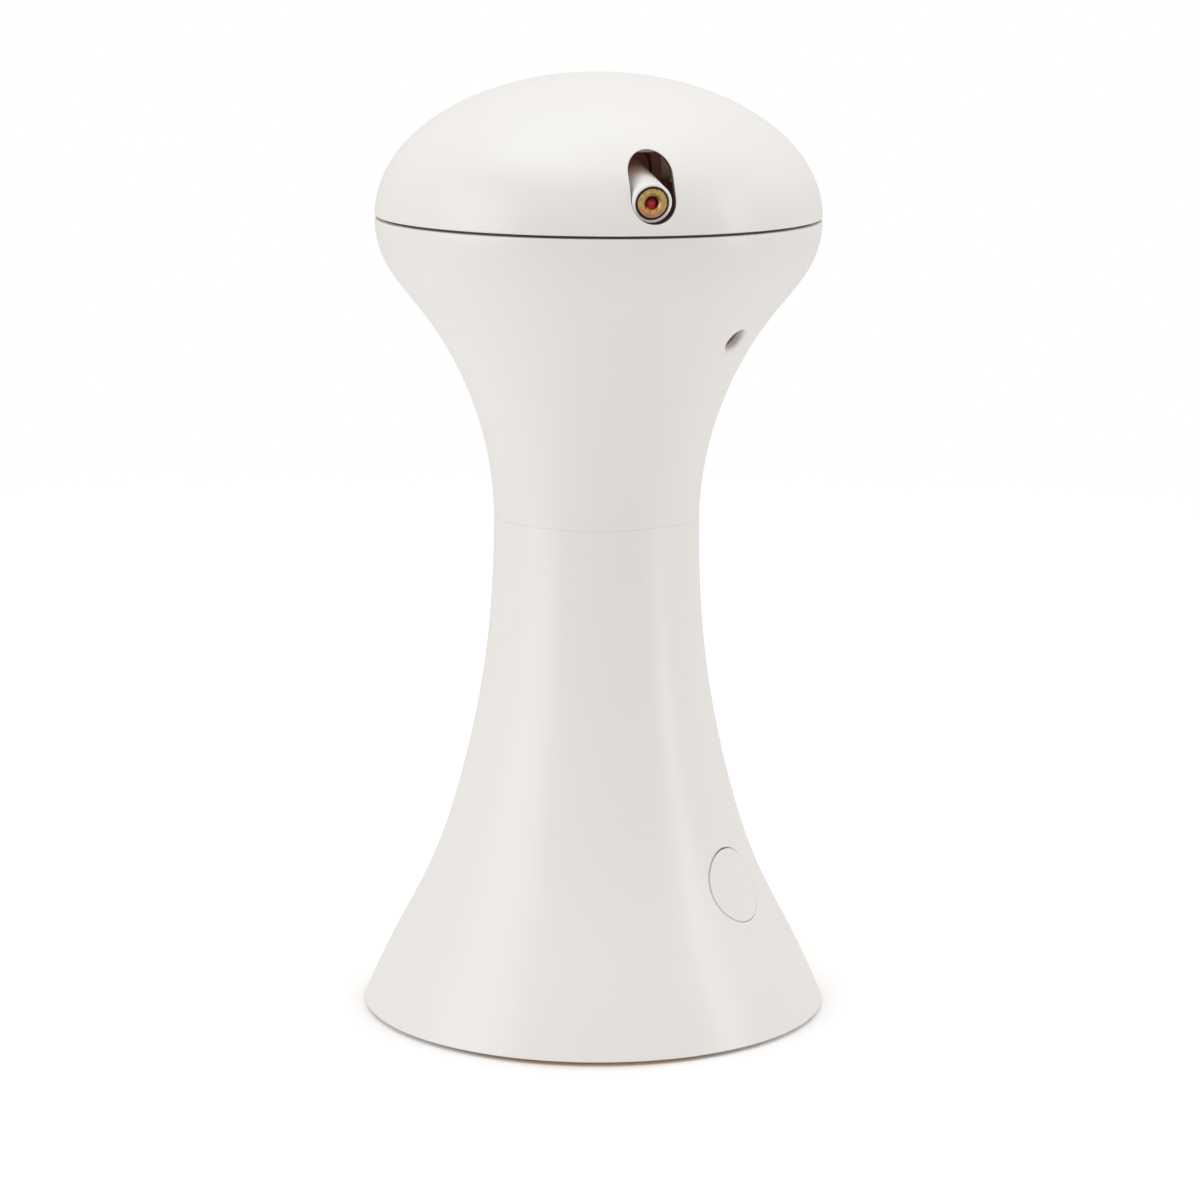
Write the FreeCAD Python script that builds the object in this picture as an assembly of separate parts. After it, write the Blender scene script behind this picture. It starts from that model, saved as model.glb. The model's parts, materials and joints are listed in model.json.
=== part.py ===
"""Automatic cat laser toy: a goblet-shaped stand with a turning dome and two laser barrels.

Millimetres. The origin is on the floor at the centre of the base and +Z is up. At rest the
slot of the dome faces -Y. Azimuths are in degrees, from -Y (0) towards +X (90).
"""
import FreeCAD, Part
import math
import os

V = FreeCAD.Vector
X_AXIS, Y_AXIS, Z_AXIS = V(1, 0, 0), V(0, 1, 0), V(0, 0, 1)

# ---- outer form: radius and height of the points that the curves pass through ----
RIM_R, RIM_Z = 59.6, 1.0            # lower edge of the base
SKIRT_IN, SKIRT_Z = 5.0, 12.2       # inside the radius of the rim
CALF_R, CALF_Z = 42.6, 36.0
SHIN_R, SHIN_Z = 34.3, 61.0
STEM_R, STEM_Z = 28.0, 94.0
NECK_R, NECK_Z = 26.2, 128.1        # seam between base and goblet
THROAT_R, THROAT_Z = 28.0, 144.4
CUP_R, CUP_Z = 34.9, 164.7
EQUATOR_R, EQUATOR_Z = 56.3, 203.6  # upper edge of the goblet
BOWL_IN, BOWL_Z = 11.2, 181.0       # inside the radius of that edge
BRIM_IN, BRIM_Z = 1.5, 195.2
HEAD_GAP = 0.7                      # running gap under the dome
DOME_RISE = 35.7
RIM_FLARE = 0.45                    # radius lost per unit of height at the rim

# ---- mouldings ----
WALL = 2.2
EDGE_ROUND = 0.4
RUN_GAP = 0.2                       # around mouldings that meet
SHAFT_GAP = 0.05                    # radial, around shafts that turn

# ---- base plate, feet and battery compartment ----
PLATE_Z, PLATE_T = 1.2, 3.0
FOOT_R, FOOT_IN, FOOT_SINK = 4.0, 9.1, 0.8  # FOOT_IN: from the rim to a foot's centre
FOOT_AZ = (30, 150, 210, 330)
CELL_R, CELL_L, CELL_COUNT = 7.1, 49.0, 4
CELL_NUB_R, CELL_NUB_L = 2.6, 1.2
CELL_PITCH = 14.8
CONTACT_T, CONTACT_HALF, SPRING_ROOM = 0.4, 4.0, 5.0
SPRING_W, SPRING_HALF, SPRING_NOSE, SPRING_LIP_Y, SPRING_LIP_Z = 6.0, 3.5, 0.5, 1.6, 3.0
TRAY_WALL = 1.5
DOOR_T, DOOR_GAP = 1.8, 0.15
DOOR_LEDGE = 1.5                    # the door laps the compartment by this much
DOOR_HINGE_LAP = 5.2                # and by this much on the tongue side
TONGUE_W, TONGUE_T, TONGUE_REACH, TONGUE_X = 8.0, 1.0, 2.2, 18.0
LATCH_W, LATCH_H = 12.0, 5.0
NOTCH_R, NOTCH_OUT, NOTCH_DEPTH = 9.0, 3.0, 1.4   # finger notch at the latch

# ---- screws: shank radius, head radius, head height ----
SCREW_R, SCREW_HEAD_R, SCREW_HEAD_H = 1.1, 2.1, 1.5
SMALL_SCREW_R, SMALL_HEAD_R, SMALL_HEAD_H = 0.7, 1.4, 1.0
BOSS_R = 3.2
BASE_SCREW_L, BASE_BOSS_OVER, BASE_BOSS_BITE = 12.0, 6.0, 3.65
NECK_SCREW_RING_R, NECK_SCREW_L = 18.0, 8.0
BASE_SCREW_AZ = (60, 180, 300)
NECK_SCREW_AZ = (60, 180, 300)

# ---- neck joint ----
SPIGOT_L, FLANGE_T, FLANGE_HOLE_R = 10.0, 2.5, 14.0
SPIGOT_GAP = 0.1

# ---- button on the base ----
BUTTON_Z, BUTTON_AZ = 36.65, 43.8
BUTTON_R, BUTTON_GAP, BUTTON_PROUD = 9.6, 0.25, 0.15
BUTTON_SKIN, BUTTON_LIP, BUTTON_LIP_T = 1.8, 1.1, 1.0
BUTTON_LIP_DEPTH = 4.2
BUTTON_TRAVEL = 0.8
SWITCH_DEPTH = 12.0                 # from the outer face to the switch board
SWITCH_SIZE, SWITCH_H, PLUNGER_R = 6.2, 3.4, 1.7
SWITCH_BOARD_L, SWITCH_BOARD_W = 34.0, 9.0
SWITCH_POST_X, SWITCH_POST_R = 14.0, 2.2

# ---- circuit boards ----
BOARD_T = 1.6
MAIN_BOARD_L, MAIN_BOARD_W, MAIN_BOARD_Z = 52.0, 40.0, 24.0
BOARD_POST_X, BOARD_POST_Y, BOARD_POST_R = 20.0, 15.0, 2.4
BOARD_SCREW_L = 4.0
CHIP_X, CHIP_Y, CHIP_L, CHIP_W, CHIP_H = 7.0, -1.0, 10.0, 6.0, 1.6
REGULATOR_X, REGULATOR_Y, REGULATOR_L, REGULATOR_W, REGULATOR_H = 17.0, 6.5, 6.0, 5.0, 2.2
MAIN_CAP_X, MAIN_CAP_Y, MAIN_CAP_R, MAIN_CAP_H = 4.0, 11.0, 3.0, 7.0
MOTOR_CAP_X, MOTOR_CAP_Y, MOTOR_CAP_R, MOTOR_CAP_H = -4.0, -11.0, 2.5, 6.0
SOCKET_L, SOCKET_MARGIN, SOCKET_H = 4.0, 1.0, 4.0

# ---- drive chassis in the goblet ----
CHASSIS_Z, CHASSIS_T, CHASSIS_R = 150.0, 2.5, 25.5
CHASSIS_ROOM = 9.0                  # between the two chassis plates
CHASSIS_BOSS_RING_R, CHASSIS_BOSS_AZ = 22.0, (0, 120, 240)
POST_RING_R, POST_R, POST_AZ = 20.0, 2.6, (30, 150, 270)
SPINDLE_R, SPINDLE_BORE_R = 3.0, 1.3
BUSH_R, BUSH_COLLAR_R, BUSH_COLLAR_T = 4.4, 5.6, 0.8
MOTOR_AZ = 90.0

# ---- gears ----
GEAR_MODULE, PRESSURE_ANGLE, BACKLASH = 0.7, 20.0, 0.16
PINION_TEETH, SPINDLE_TEETH, SECTOR_TEETH = 12, 30, 36
GEAR_W, PINION_W, SECTOR_W = 4.0, 5.0, 3.0
SECTOR_LOW, SECTOR_HIGH = -2, 3     # teeth of the sector, counted from the line of centres
HUB_R = 5.2

# ---- gearmotors, both alike ----
MOTOR_W, MOTOR_D, GEARBOX_L, MOTOR_CAN_L = 12.0, 10.0, 9.0, 11.0
MOTOR_SHAFT_R, MOTOR_SHAFT_DEPTH, MOTOR_SCREW_PITCH = 1.5, 4.0, 9.0

# ---- slip rings ----
DRUM_R, DRUM_L, RING_R, RING_W, RING_COUNT, RING_PITCH = 4.6, 9.0, 5.2, 1.6, 3, 2.8
BRUSH_GAP, BRUSH_T, BRUSH_W = 0.1, 0.3, 1.2
HOLDER_IN_R, HOLDER_OUT_R, HOLDER_W = 9.0, 14.0, 10.0
RIBBON_W, RIBBON_T, RIBBON_R = 8.0, 1.0, 11.5

# ---- turntable ----
TABLE_T, TABLE_HUB_R, TABLE_HUB_L = 2.0, 7.0, 8.0
TABLE_SKIRT_GAP, TABLE_SKIRT_T, TABLE_SKIRT_L = 0.8, 1.5, 5.0  # gap: inside the goblet's mouth
TABLE_RIB_H, TABLE_RIB_T, TABLE_RIBS = 2.5, 1.6, 6
DOME_SCREW_IN, DOME_SCREW_AZ, DOME_SCREW_L = 12.3, (60, 180, 300), 12.0
COLLAR_R, COLLAR_L = 4.4, 4.0

# ---- laser barrels, both alike in section ----
BARREL_R, SLEEVE_R, MODULE_R = 4.85, 4.15, 3.6
APERTURE_R, LENS_R, LENS_DEPTH, LENS_T = 1.6, 1.05, 1.1, 1.0
MODULE_L, SLEEVE_L, MODULE_STEP = 16.0, 18.0, 0.3
LENS_GAP, LENS_CROWN, LENS_BOW_R = 0.02, 0.25, 2.0   # radial gap, rise and bow of its face
DRIVER_L, DRIVER_W, DRIVER_T = 10.0, 6.0, 1.0

# ---- upper barrel, slot and tilt gear ----
SLOT_W, SLOT_LOW, SLOT_HIGH = 11.0, 206.95, 224.2
PIVOT_R, PIVOT_Z = 20.0, 218.15     # tilt axis: distance in front of the spindle, and height
UPPER_ANGLE, UPPER_SINK, UPPER_TAIL = -10.0, 0.08, 6.5  # sink: mouth behind the dome's face
UPPER_SIDE = -0.5                   # the barrel lies to one side of the slot's middle
CRADLE_R, CRADLE_L = 6.6, 9.0
TRUNNION_R, CHEEK_X, CHEEK_T, CHEEK_D = 1.8, 7.1, 2.5, 10.0
SECTOR_X = 10.0                     # near face of the tilt sector
BRACKET_T, BRACKET_ARM_BACK, BRACKET_SCREW_IN = 2.0, 6.0, 3.6
BRACKET_PAD_X, BRACKET_PAD_FRONT, BRACKET_PAD_BACK, BRACKET_PAD_IN = 30.0, 18.0, 12.0, 8.0

# ---- lower barrel and ports ----
PORT_AZ, PORT_Z, PORT_R = (42.6, 222.6), 175.4, 3.7
LOWER_SINK, LOWER_L = 3.99, 30.0     # sink: mouth behind the goblet's face
CLAMP_W, CLAMP_H, CLAMP_L, CLAMP_BACK = 13.0, 13.0, 12.0, 8.0
WEB_T, HANGER_FLANGE_T, HANGER_W, HANGER_BACK, HANGER_L = 2.0, 2.0, 14.0, 4.0, 15.0

# ---- worked out from the values above ----
FOOT_RING_R = RIM_R - FOOT_IN
BASE_BOSS_TOP = PLATE_Z + PLATE_T + BASE_SCREW_L + BASE_BOSS_OVER
DOME_Z = EQUATOR_Z + HEAD_GAP
TABLE_Z = DOME_Z
TABLE_SKIRT_R = EQUATOR_R - WALL - TABLE_SKIRT_GAP
DOME_SCREW_RING_R = EQUATOR_R - DOME_SCREW_IN
TABLE_TOP = TABLE_Z + TABLE_T
PLATE_TOP = PLATE_Z + PLATE_T
DOOR_SEAT_Z = PLATE_Z + DOOR_T + DOOR_GAP
CELL_Z = DOOR_SEAT_Z + 0.5 + CELL_R
TRAY_X = CELL_PITCH * CELL_COUNT / 2 + 0.3
TRAY_Y = (CELL_L + CELL_NUB_L + CONTACT_T + SPRING_ROOM) / 2
TRAY_TOP = CELL_Z + CELL_R + 0.3 + TRAY_WALL
SPIGOT_Z = NECK_Z - SPIGOT_L
UPPER_PLATE_Z = CHASSIS_Z + CHASSIS_T + CHASSIS_ROOM
GEAR_Z = CHASSIS_Z + CHASSIS_T + (CHASSIS_ROOM - GEAR_W) / 2
PINION_R = GEAR_MODULE * PINION_TEETH / 2
SPINDLE_GEAR_R = GEAR_MODULE * SPINDLE_TEETH / 2
MOTOR_RING_R = PINION_R + SPINDLE_GEAR_R
SECTOR_R = GEAR_MODULE * SECTOR_TEETH / 2
DRUM_Z = CHASSIS_Z - 1.5 - DRUM_L
TILT_PINION_Y = -PIVOT_R + SECTOR_R + PINION_R
MOTOR_FACE_X = SECTOR_X + SECTOR_W + 0.8


# ---- helpers ----
def cylinder(radius, z_low, z_high, x=0.0, y=0.0):
    return Part.makeCylinder(radius, z_high - z_low, V(x, y, z_low))


def ring(outer, inner, z_low, z_high, x=0.0, y=0.0):
    return cylinder(outer, z_low, z_high, x, y).cut(cylinder(inner, z_low - 1, z_high + 1, x, y))


def block(x_low, x_high, y_low, y_high, z_low, z_high):
    return Part.makeBox(x_high - x_low, y_high - y_low, z_high - z_low, V(x_low, y_low, z_low))


def spot(radius, azimuth):
    """Place on a circle about the Z axis, as x and y."""
    angle = math.radians(azimuth)
    return radius * math.sin(angle), -radius * math.cos(angle)


def turned(shape, azimuth):
    """Shape made in front of the axis, on the -Y side, carried round to an azimuth."""
    copy = shape.copy()
    copy.rotate(V(0, 0, 0), Z_AXIS, azimuth)
    return copy


def aimed(shape, radius, height, elevation, azimuth):
    """Shape made along +Z at the origin, aimed outward at an elevation from a place in the part."""
    copy = shape.copy()
    copy.rotate(V(0, 0, 0), X_AXIS, 90 - elevation)
    copy.translate(V(0, -radius, height))
    return turned(copy, azimuth)


def along_x(shape, x, y, z):
    """Shape made along +Z at the origin, laid along +X from a point."""
    copy = shape.copy()
    copy.rotate(V(0, 0, 0), Y_AXIS, 90)
    copy.translate(V(x, y, z))
    return copy


def fused(first, *others):
    shape = first.fuse(list(others))
    return shape.removeSplitter()


def save(node, *solids):
    shape = solids[0] if len(solids) == 1 else Part.makeCompound(list(solids))
    shape.exportStep("parts/%s.step" % node)


def screw(z_seat, length, x, y, size=(SCREW_R, SCREW_HEAD_R, SCREW_HEAD_H), upward=False):
    """Pan-head screw whose head seats at a height, with its shank running down, or upward."""
    shank_r, head_r, head_h = size
    way = 1 if upward else -1
    body = Part.makeCylinder(shank_r, length, V(x, y, z_seat), V(0, 0, way))
    head = Part.makeCylinder(head_r, head_h, V(x, y, z_seat), V(0, 0, -way))
    return body.fuse(head)


def strip(points, width, thickness):
    """Sheet-metal strip bent along points in the YZ plane, centred on X = 0."""
    pieces = []
    for (y1, z1), (y2, z2) in zip(points, points[1:]):
        run = math.hypot(y2 - y1, z2 - z1)
        leaf = Part.makeBox(width, run, thickness, V(-width / 2, 0, -thickness / 2))
        leaf.rotate(V(0, 0, 0), X_AXIS, math.degrees(math.atan2(z2 - z1, y2 - y1)))
        leaf.translate(V(0, y1, z1))
        pieces.append(leaf)
    for y, z in points[1:-1]:
        pieces.append(Part.makeCylinder(thickness / 2, width, V(-width / 2, y, z), X_AXIS))
    return fused(pieces[0], *pieces[1:])


# ---- curves of revolution ----
def curve_through(points, start, end):
    """Smooth curve in the XZ plane through points given as radius and height."""
    curve = Part.BSplineCurve()
    curve.interpolate(Points=[V(r, 0, z) for r, z in points], InitialTangent=start, FinalTangent=end)
    return curve


def inset(curve, depth):
    """Curve that runs inside another one at a depth, or outside it where the depth is negative."""
    points = []
    for knot in curve.getKnots():
        point, along = curve.value(knot), curve.tangent(knot)[0]
        points.append((point.x - depth * along.z, point.z + depth * along.x))
    first, last = curve.tangent(curve.FirstParameter)[0], curve.tangent(curve.LastParameter)[0]
    return curve_through(points, first, last)


def radius_and_slope(curve, height):
    """Radius of an outer curve at a height, and the elevation of its outward normal."""
    low, high = curve.FirstParameter, curve.LastParameter
    for _ in range(40):
        middle = (low + high) / 2
        if curve.value(middle).z < height:
            low = middle
        else:
            high = middle
    along = curve.tangent(low)[0]
    return curve.value(low).x, math.degrees(math.atan2(-along.x, along.z))


def turned_solid(curve, z_low, z_high):
    """Solid of revolution inside a rising curve, cut off level at two heights."""
    start, end = curve.value(curve.FirstParameter), curve.value(curve.LastParameter)
    corners = [end, V(end.x, 0, z_high), V(0, 0, z_high), V(0, 0, z_low), V(start.x, 0, z_low), start]
    edges = [curve.toShape()]
    for a, b in zip(corners, corners[1:]):
        if a.distanceToPoint(b) > 1e-6:
            edges.append(Part.makeLine(a, b))
    face = Part.Face(Part.Wire(Part.__sortEdges__(edges)))
    return face.revolve(V(0, 0, 0), Z_AXIS, 360)


def half_ellipsoid(radius, rise, z_low):
    centre = V(0, 0, z_low)
    ellipse = Part.Ellipse(V(radius, 0, z_low), V(0, 0, z_low + rise), centre)
    arc = Part.Arc(ellipse, 0, math.pi / 2).toBSpline().toShape()
    top = V(0, 0, z_low + rise)
    edges = [arc, Part.makeLine(top, centre), Part.makeLine(centre, V(radius, 0, z_low))]
    face = Part.Face(Part.Wire(Part.__sortEdges__(edges)))
    return face.revolve(V(0, 0, 0), Z_AXIS, 360)


def base_curve():
    points = [(RIM_R, RIM_Z), (RIM_R - SKIRT_IN, SKIRT_Z), (CALF_R, CALF_Z), (SHIN_R, SHIN_Z),
              (STEM_R, STEM_Z), (NECK_R, NECK_Z)]
    return curve_through(points, V(-RIM_FLARE, 0, 1), Z_AXIS)


def goblet_curve():
    points = [(NECK_R, NECK_Z), (THROAT_R, THROAT_Z), (CUP_R, CUP_Z), (EQUATOR_R - BOWL_IN, BOWL_Z),
              (EQUATOR_R - BRIM_IN, BRIM_Z), (EQUATOR_R, EQUATOR_Z)]
    return curve_through(points, Z_AXIS, Z_AXIS)


def dome_reach(angle):
    """Distance from the pivot of the upper barrel to the dome's face, at an elevation."""
    out, down = math.cos(math.radians(angle)), -math.sin(math.radians(angle))
    height = PIVOT_Z - DOME_Z
    a = (out / EQUATOR_R) ** 2 + (down / DOME_RISE) ** 2
    b = PIVOT_R * out / EQUATOR_R ** 2 - height * down / DOME_RISE ** 2
    c = (PIVOT_R / EQUATOR_R) ** 2 + (height / DOME_RISE) ** 2 - 1
    return (math.sqrt(b * b - a * c) - b) / a


BASE_CURVE = base_curve()
GOBLET_CURVE = goblet_curve()
PLATE_R = radius_and_slope(inset(BASE_CURVE, WALL), PLATE_TOP)[0] - RUN_GAP
BASE_SCREW_RING_R = (radius_and_slope(inset(BASE_CURVE, WALL), BASE_BOSS_TOP)[0]
                     - BOSS_R + BASE_BOSS_BITE)
BUTTON_AT, BUTTON_TILT = radius_and_slope(BASE_CURVE, BUTTON_Z)
PORT_AT, PORT_TILT = radius_and_slope(GOBLET_CURVE, PORT_Z)
LOWER_AZ = PORT_AZ[1]
LOWER_MOUTH_R = PORT_AT - LOWER_SINK
HANGER_OUT_R = LOWER_MOUTH_R - HANGER_BACK
HANGER_IN_R = HANGER_OUT_R - HANGER_L
LOWER_MOUTH_Z = PORT_Z - (PORT_AT - LOWER_MOUTH_R) * math.tan(math.radians(PORT_TILT))
SPIGOT_R = NECK_R - WALL - SPIGOT_GAP
UPPER_MOUTH = dome_reach(UPPER_ANGLE) - UPPER_SINK
UPPER_L = UPPER_MOUTH + UPPER_TAIL


def on_button(shape):
    """Shape made along +Z from the outer face, set on the axis of the button."""
    return aimed(shape, BUTTON_AT, BUTTON_Z, BUTTON_TILT, BUTTON_AZ)


def on_upper_barrel(shape):
    """Shape made along +Z from the pivot of the upper barrel."""
    return aimed(shape, PIVOT_R, PIVOT_Z, UPPER_ANGLE, 0)


def in_upper_barrel(shape):
    """Shape made along +Z about the upper barrel's own axis, from its pivot."""
    copy = shape.copy()
    copy.translate(V(UPPER_SIDE, 0, 0))
    return on_upper_barrel(copy)


def on_lower_barrel(shape):
    """Shape made along +Z from the mouth of the lower barrel."""
    return aimed(shape, LOWER_MOUTH_R, LOWER_MOUTH_Z, PORT_TILT, LOWER_AZ)


# ---- base ----
def base_cone():
    """Flared stand: a skin with screw bosses, a neck flange and posts for the switch board."""
    outer = turned_solid(BASE_CURVE, RIM_Z, NECK_Z)
    inner = turned_solid(inset(BASE_CURVE, WALL), RIM_Z - WALL, NECK_Z + 1)
    shell = outer.cut(inner)
    flange = ring(NECK_R - WALL / 2, FLANGE_HOLE_R, SPIGOT_Z - FLANGE_T, SPIGOT_Z)
    pieces = [flange]
    core = turned_solid(inset(BASE_CURVE, WALL / 2), RIM_Z - WALL, NECK_Z)
    for azimuth in BASE_SCREW_AZ:
        x, y = spot(BASE_SCREW_RING_R, azimuth)
        pieces.append(cylinder(BOSS_R, PLATE_TOP, BASE_BOSS_TOP, x, y).common(core))
    for side in (-1, 1):
        post = cylinder(SWITCH_POST_R, -SWITCH_DEPTH, 0, side * SWITCH_POST_X)
        pieces.append(on_button(post).common(core))
    shell = fused(shell, *pieces)
    cuts = [on_button(cylinder(BUTTON_R + BUTTON_GAP, -2 * WALL - 1, WALL))]
    for azimuth in BASE_SCREW_AZ:
        x, y = spot(BASE_SCREW_RING_R, azimuth)
        cuts.append(cylinder(SCREW_R, PLATE_TOP - 1, PLATE_TOP + BASE_SCREW_L, x, y))
    for azimuth in NECK_SCREW_AZ:
        x, y = spot(NECK_SCREW_RING_R, azimuth)
        cuts.append(cylinder(SCREW_R, SPIGOT_Z - FLANGE_T - 1, SPIGOT_Z + 1, x, y))
    for side in (-1, 1):
        cuts.append(on_button(cylinder(SMALL_SCREW_R, -SWITCH_DEPTH - 1, -SWITCH_DEPTH + 4,
                                       side * SWITCH_POST_X)))
    return shell.cut(cuts)


def tray_cavity():
    """Room for the cells: scalloped above, square below."""
    room = block(-TRAY_X, TRAY_X, -TRAY_Y, TRAY_Y, PLATE_Z - 1, CELL_Z)
    scallops = []
    for index in range(CELL_COUNT):
        x = (index - (CELL_COUNT - 1) / 2) * CELL_PITCH
        scallops.append(Part.makeCylinder(CELL_R + 0.25, 2 * TRAY_Y, V(x, -TRAY_Y, CELL_Z), Y_AXIS))
    return fused(room, *scallops)


def door_edges():
    """Outline of the door: half width, its latch edge and its hinge edge."""
    return TRAY_X + DOOR_LEDGE, -TRAY_Y - DOOR_LEDGE, TRAY_Y + DOOR_HINGE_LAP


def base_plate():
    """Round floor of the stand, moulded in one with the battery compartment."""
    half, latch_y, hinge_y = door_edges()
    plate = cylinder(PLATE_R, PLATE_Z, PLATE_TOP)
    tray = block(-TRAY_X - TRAY_WALL, TRAY_X + TRAY_WALL, -TRAY_Y - TRAY_WALL, TRAY_Y + TRAY_WALL,
                 PLATE_TOP - 0.5, TRAY_TOP)
    posts = [cylinder(BOARD_POST_R, TRAY_TOP - 0.5, MAIN_BOARD_Z, sx * BOARD_POST_X, sy * BOARD_POST_Y)
             for sx in (-1, 1) for sy in (-1, 1)]
    shape = fused(plate, tray, *posts)
    gap = RUN_GAP
    cuts = [tray_cavity(),
            block(-half - gap, half + gap, latch_y - gap, hinge_y + gap, PLATE_Z - 1, DOOR_SEAT_Z)]
    for side in (-1, 1):
        x = side * TONGUE_X
        cuts.append(block(x - TONGUE_W / 2 - gap, x + TONGUE_W / 2 + gap, hinge_y - 3.8,
                          hinge_y + TONGUE_REACH + 0.6, PLATE_Z + DOOR_T - DOOR_GAP, PLATE_TOP + 1))
    cuts.append(block(-LATCH_W / 2 - gap, LATCH_W / 2 + gap, latch_y - 0.6, latch_y + 1.4,
                      PLATE_Z - 1, PLATE_TOP + LATCH_H))
    cuts.append(Part.makeSphere(NOTCH_R, V(0, latch_y - NOTCH_OUT, PLATE_Z + NOTCH_DEPTH - NOTCH_R)))
    for azimuth in BASE_SCREW_AZ:
        x, y = spot(BASE_SCREW_RING_R, azimuth)
        cuts.append(cylinder(SCREW_R + 0.2, PLATE_Z - 1, PLATE_TOP + 1, x, y))
        cuts.append(cylinder(SCREW_HEAD_R + 0.4, PLATE_Z - 1, PLATE_TOP - 1.0, x, y))
    for azimuth in FOOT_AZ:
        x, y = spot(FOOT_RING_R, azimuth)
        cuts.append(cylinder(FOOT_R, PLATE_Z - 1, PLATE_Z + FOOT_SINK, x, y))
    for sx in (-1, 1):
        for sy in (-1, 1):
            cuts.append(cylinder(SMALL_SCREW_R, MAIN_BOARD_Z - 3.5, MAIN_BOARD_Z + 1,
                                 sx * BOARD_POST_X, sy * BOARD_POST_Y))
    return shape.cut(cuts)


def rubber_feet():
    """Four pads set in the base plate; they stand on the floor."""
    feet = []
    for azimuth in FOOT_AZ:
        x, y = spot(FOOT_RING_R, azimuth)
        pad = cylinder(FOOT_R - 0.05, 0, PLATE_Z + FOOT_SINK, x, y)
        low_edge = [edge for edge in pad.Edges if edge.BoundBox.ZMax < 1e-6]
        feet.append(pad.makeChamfer(0.4, low_edge))
    return feet


def battery_door():
    """Cover of the compartment: round hinge edge with two tongues, latch tab opposite."""
    half, latch_y, hinge_y = door_edges()
    axis_y, axis_z = hinge_y - DOOR_T / 2, PLATE_Z + DOOR_T / 2
    panel = block(-half, half, latch_y, axis_y, PLATE_Z, PLATE_Z + DOOR_T)
    edge = Part.makeCylinder(DOOR_T / 2, 2 * half, V(-half, axis_y, axis_z), X_AXIS)
    pieces = [edge]
    for side in (-1, 1):
        x = side * TONGUE_X
        pieces.append(block(x - TONGUE_W / 2, x + TONGUE_W / 2, hinge_y - 3.0, hinge_y + TONGUE_REACH,
                            PLATE_Z + DOOR_T - 0.01, PLATE_Z + DOOR_T + TONGUE_T))
    pieces.append(block(-LATCH_W / 2, LATCH_W / 2, latch_y, latch_y + 1.0, PLATE_Z + DOOR_T - 0.01,
                        PLATE_TOP + LATCH_H - 1.0))
    door = fused(panel, *pieces)
    return door.cut(Part.makeSphere(NOTCH_R, V(0, latch_y - NOTCH_OUT, PLATE_Z + NOTCH_DEPTH - NOTCH_R)))


def battery_side(index):
    """Centre line of a cell and the way its positive end points."""
    return (index - (CELL_COUNT - 1) / 2) * CELL_PITCH, 1 if index % 2 else -1


def aa_cells():
    cells = []
    for index in range(CELL_COUNT):
        x, way = battery_side(index)
        tip = TRAY_Y - CONTACT_T
        nub = Part.makeCylinder(CELL_NUB_R, CELL_NUB_L + 1, V(x, way * tip, CELL_Z), V(0, -way, 0))
        body = Part.makeCylinder(CELL_R, CELL_L, V(x, way * (tip - CELL_NUB_L), CELL_Z), V(0, -way, 0))
        cells.append(body.fuse(nub))
    return cells


def battery_contacts():
    """Flat plates that the positive ends press on."""
    plates = []
    for index in range(CELL_COUNT):
        x, way = battery_side(index)
        y = sorted((way * TRAY_Y, way * (TRAY_Y - CONTACT_T)))
        plates.append(block(x - CONTACT_HALF, x + CONTACT_HALF, y[0], y[1],
                            CELL_Z - CONTACT_HALF, CELL_Z + CONTACT_HALF))
    return plates


def battery_springs():
    """Folded leaf springs that press on the negative ends."""
    springs = []
    half = CONTACT_T / 2
    tip = TRAY_Y - SPRING_ROOM + half
    points = [(TRAY_Y - half, CELL_Z - SPRING_HALF), (TRAY_Y - half, CELL_Z + SPRING_HALF),
              (tip, CELL_Z + SPRING_NOSE), (tip + SPRING_LIP_Y, CELL_Z - SPRING_LIP_Z)]
    for index in range(CELL_COUNT):
        x, way = battery_side(index)
        leaf = strip([(-way * y, z) for y, z in points], SPRING_W, CONTACT_T)
        leaf.translate(V(x, 0, 0))
        springs.append(leaf)
    return springs


# ---- electronics ----
def main_board():
    board = block(-MAIN_BOARD_L / 2, MAIN_BOARD_L / 2, -MAIN_BOARD_W / 2, MAIN_BOARD_W / 2,
                  MAIN_BOARD_Z, MAIN_BOARD_Z + BOARD_T)
    holes = [cylinder(SMALL_SCREW_R + 0.2, MAIN_BOARD_Z - 1, MAIN_BOARD_Z + BOARD_T + 1,
                      sx * BOARD_POST_X, sy * BOARD_POST_Y) for sx in (-1, 1) for sy in (-1, 1)]
    return board.cut(holes)


def board_components():
    """Controller, regulator, capacitors and the ribbon socket on the main board."""
    top = MAIN_BOARD_Z + BOARD_T

    def package(x, y, length, width, height):
        return block(x - length / 2, x + length / 2, y - width / 2, y + width / 2, top, top + height)

    return [package(CHIP_X, CHIP_Y, CHIP_L, CHIP_W, CHIP_H),
            package(REGULATOR_X, REGULATOR_Y, REGULATOR_L, REGULATOR_W, REGULATOR_H),
            cylinder(MAIN_CAP_R, top, top + MAIN_CAP_H, MAIN_CAP_X, MAIN_CAP_Y),
            cylinder(MOTOR_CAP_R, top, top + MOTOR_CAP_H, MOTOR_CAP_X, MOTOR_CAP_Y),
            package(-RIBBON_R, 0, SOCKET_L, RIBBON_W + 2 * SOCKET_MARGIN, SOCKET_H)]


def ribbon_cable():
    """Flat cable, straight up the stem from the main board to the brush holder."""
    return block(-RIBBON_R - RIBBON_T / 2, -RIBBON_R + RIBBON_T / 2, -RIBBON_W / 2, RIBBON_W / 2,
                 MAIN_BOARD_Z + BOARD_T + SOCKET_H, DRUM_Z)


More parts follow.
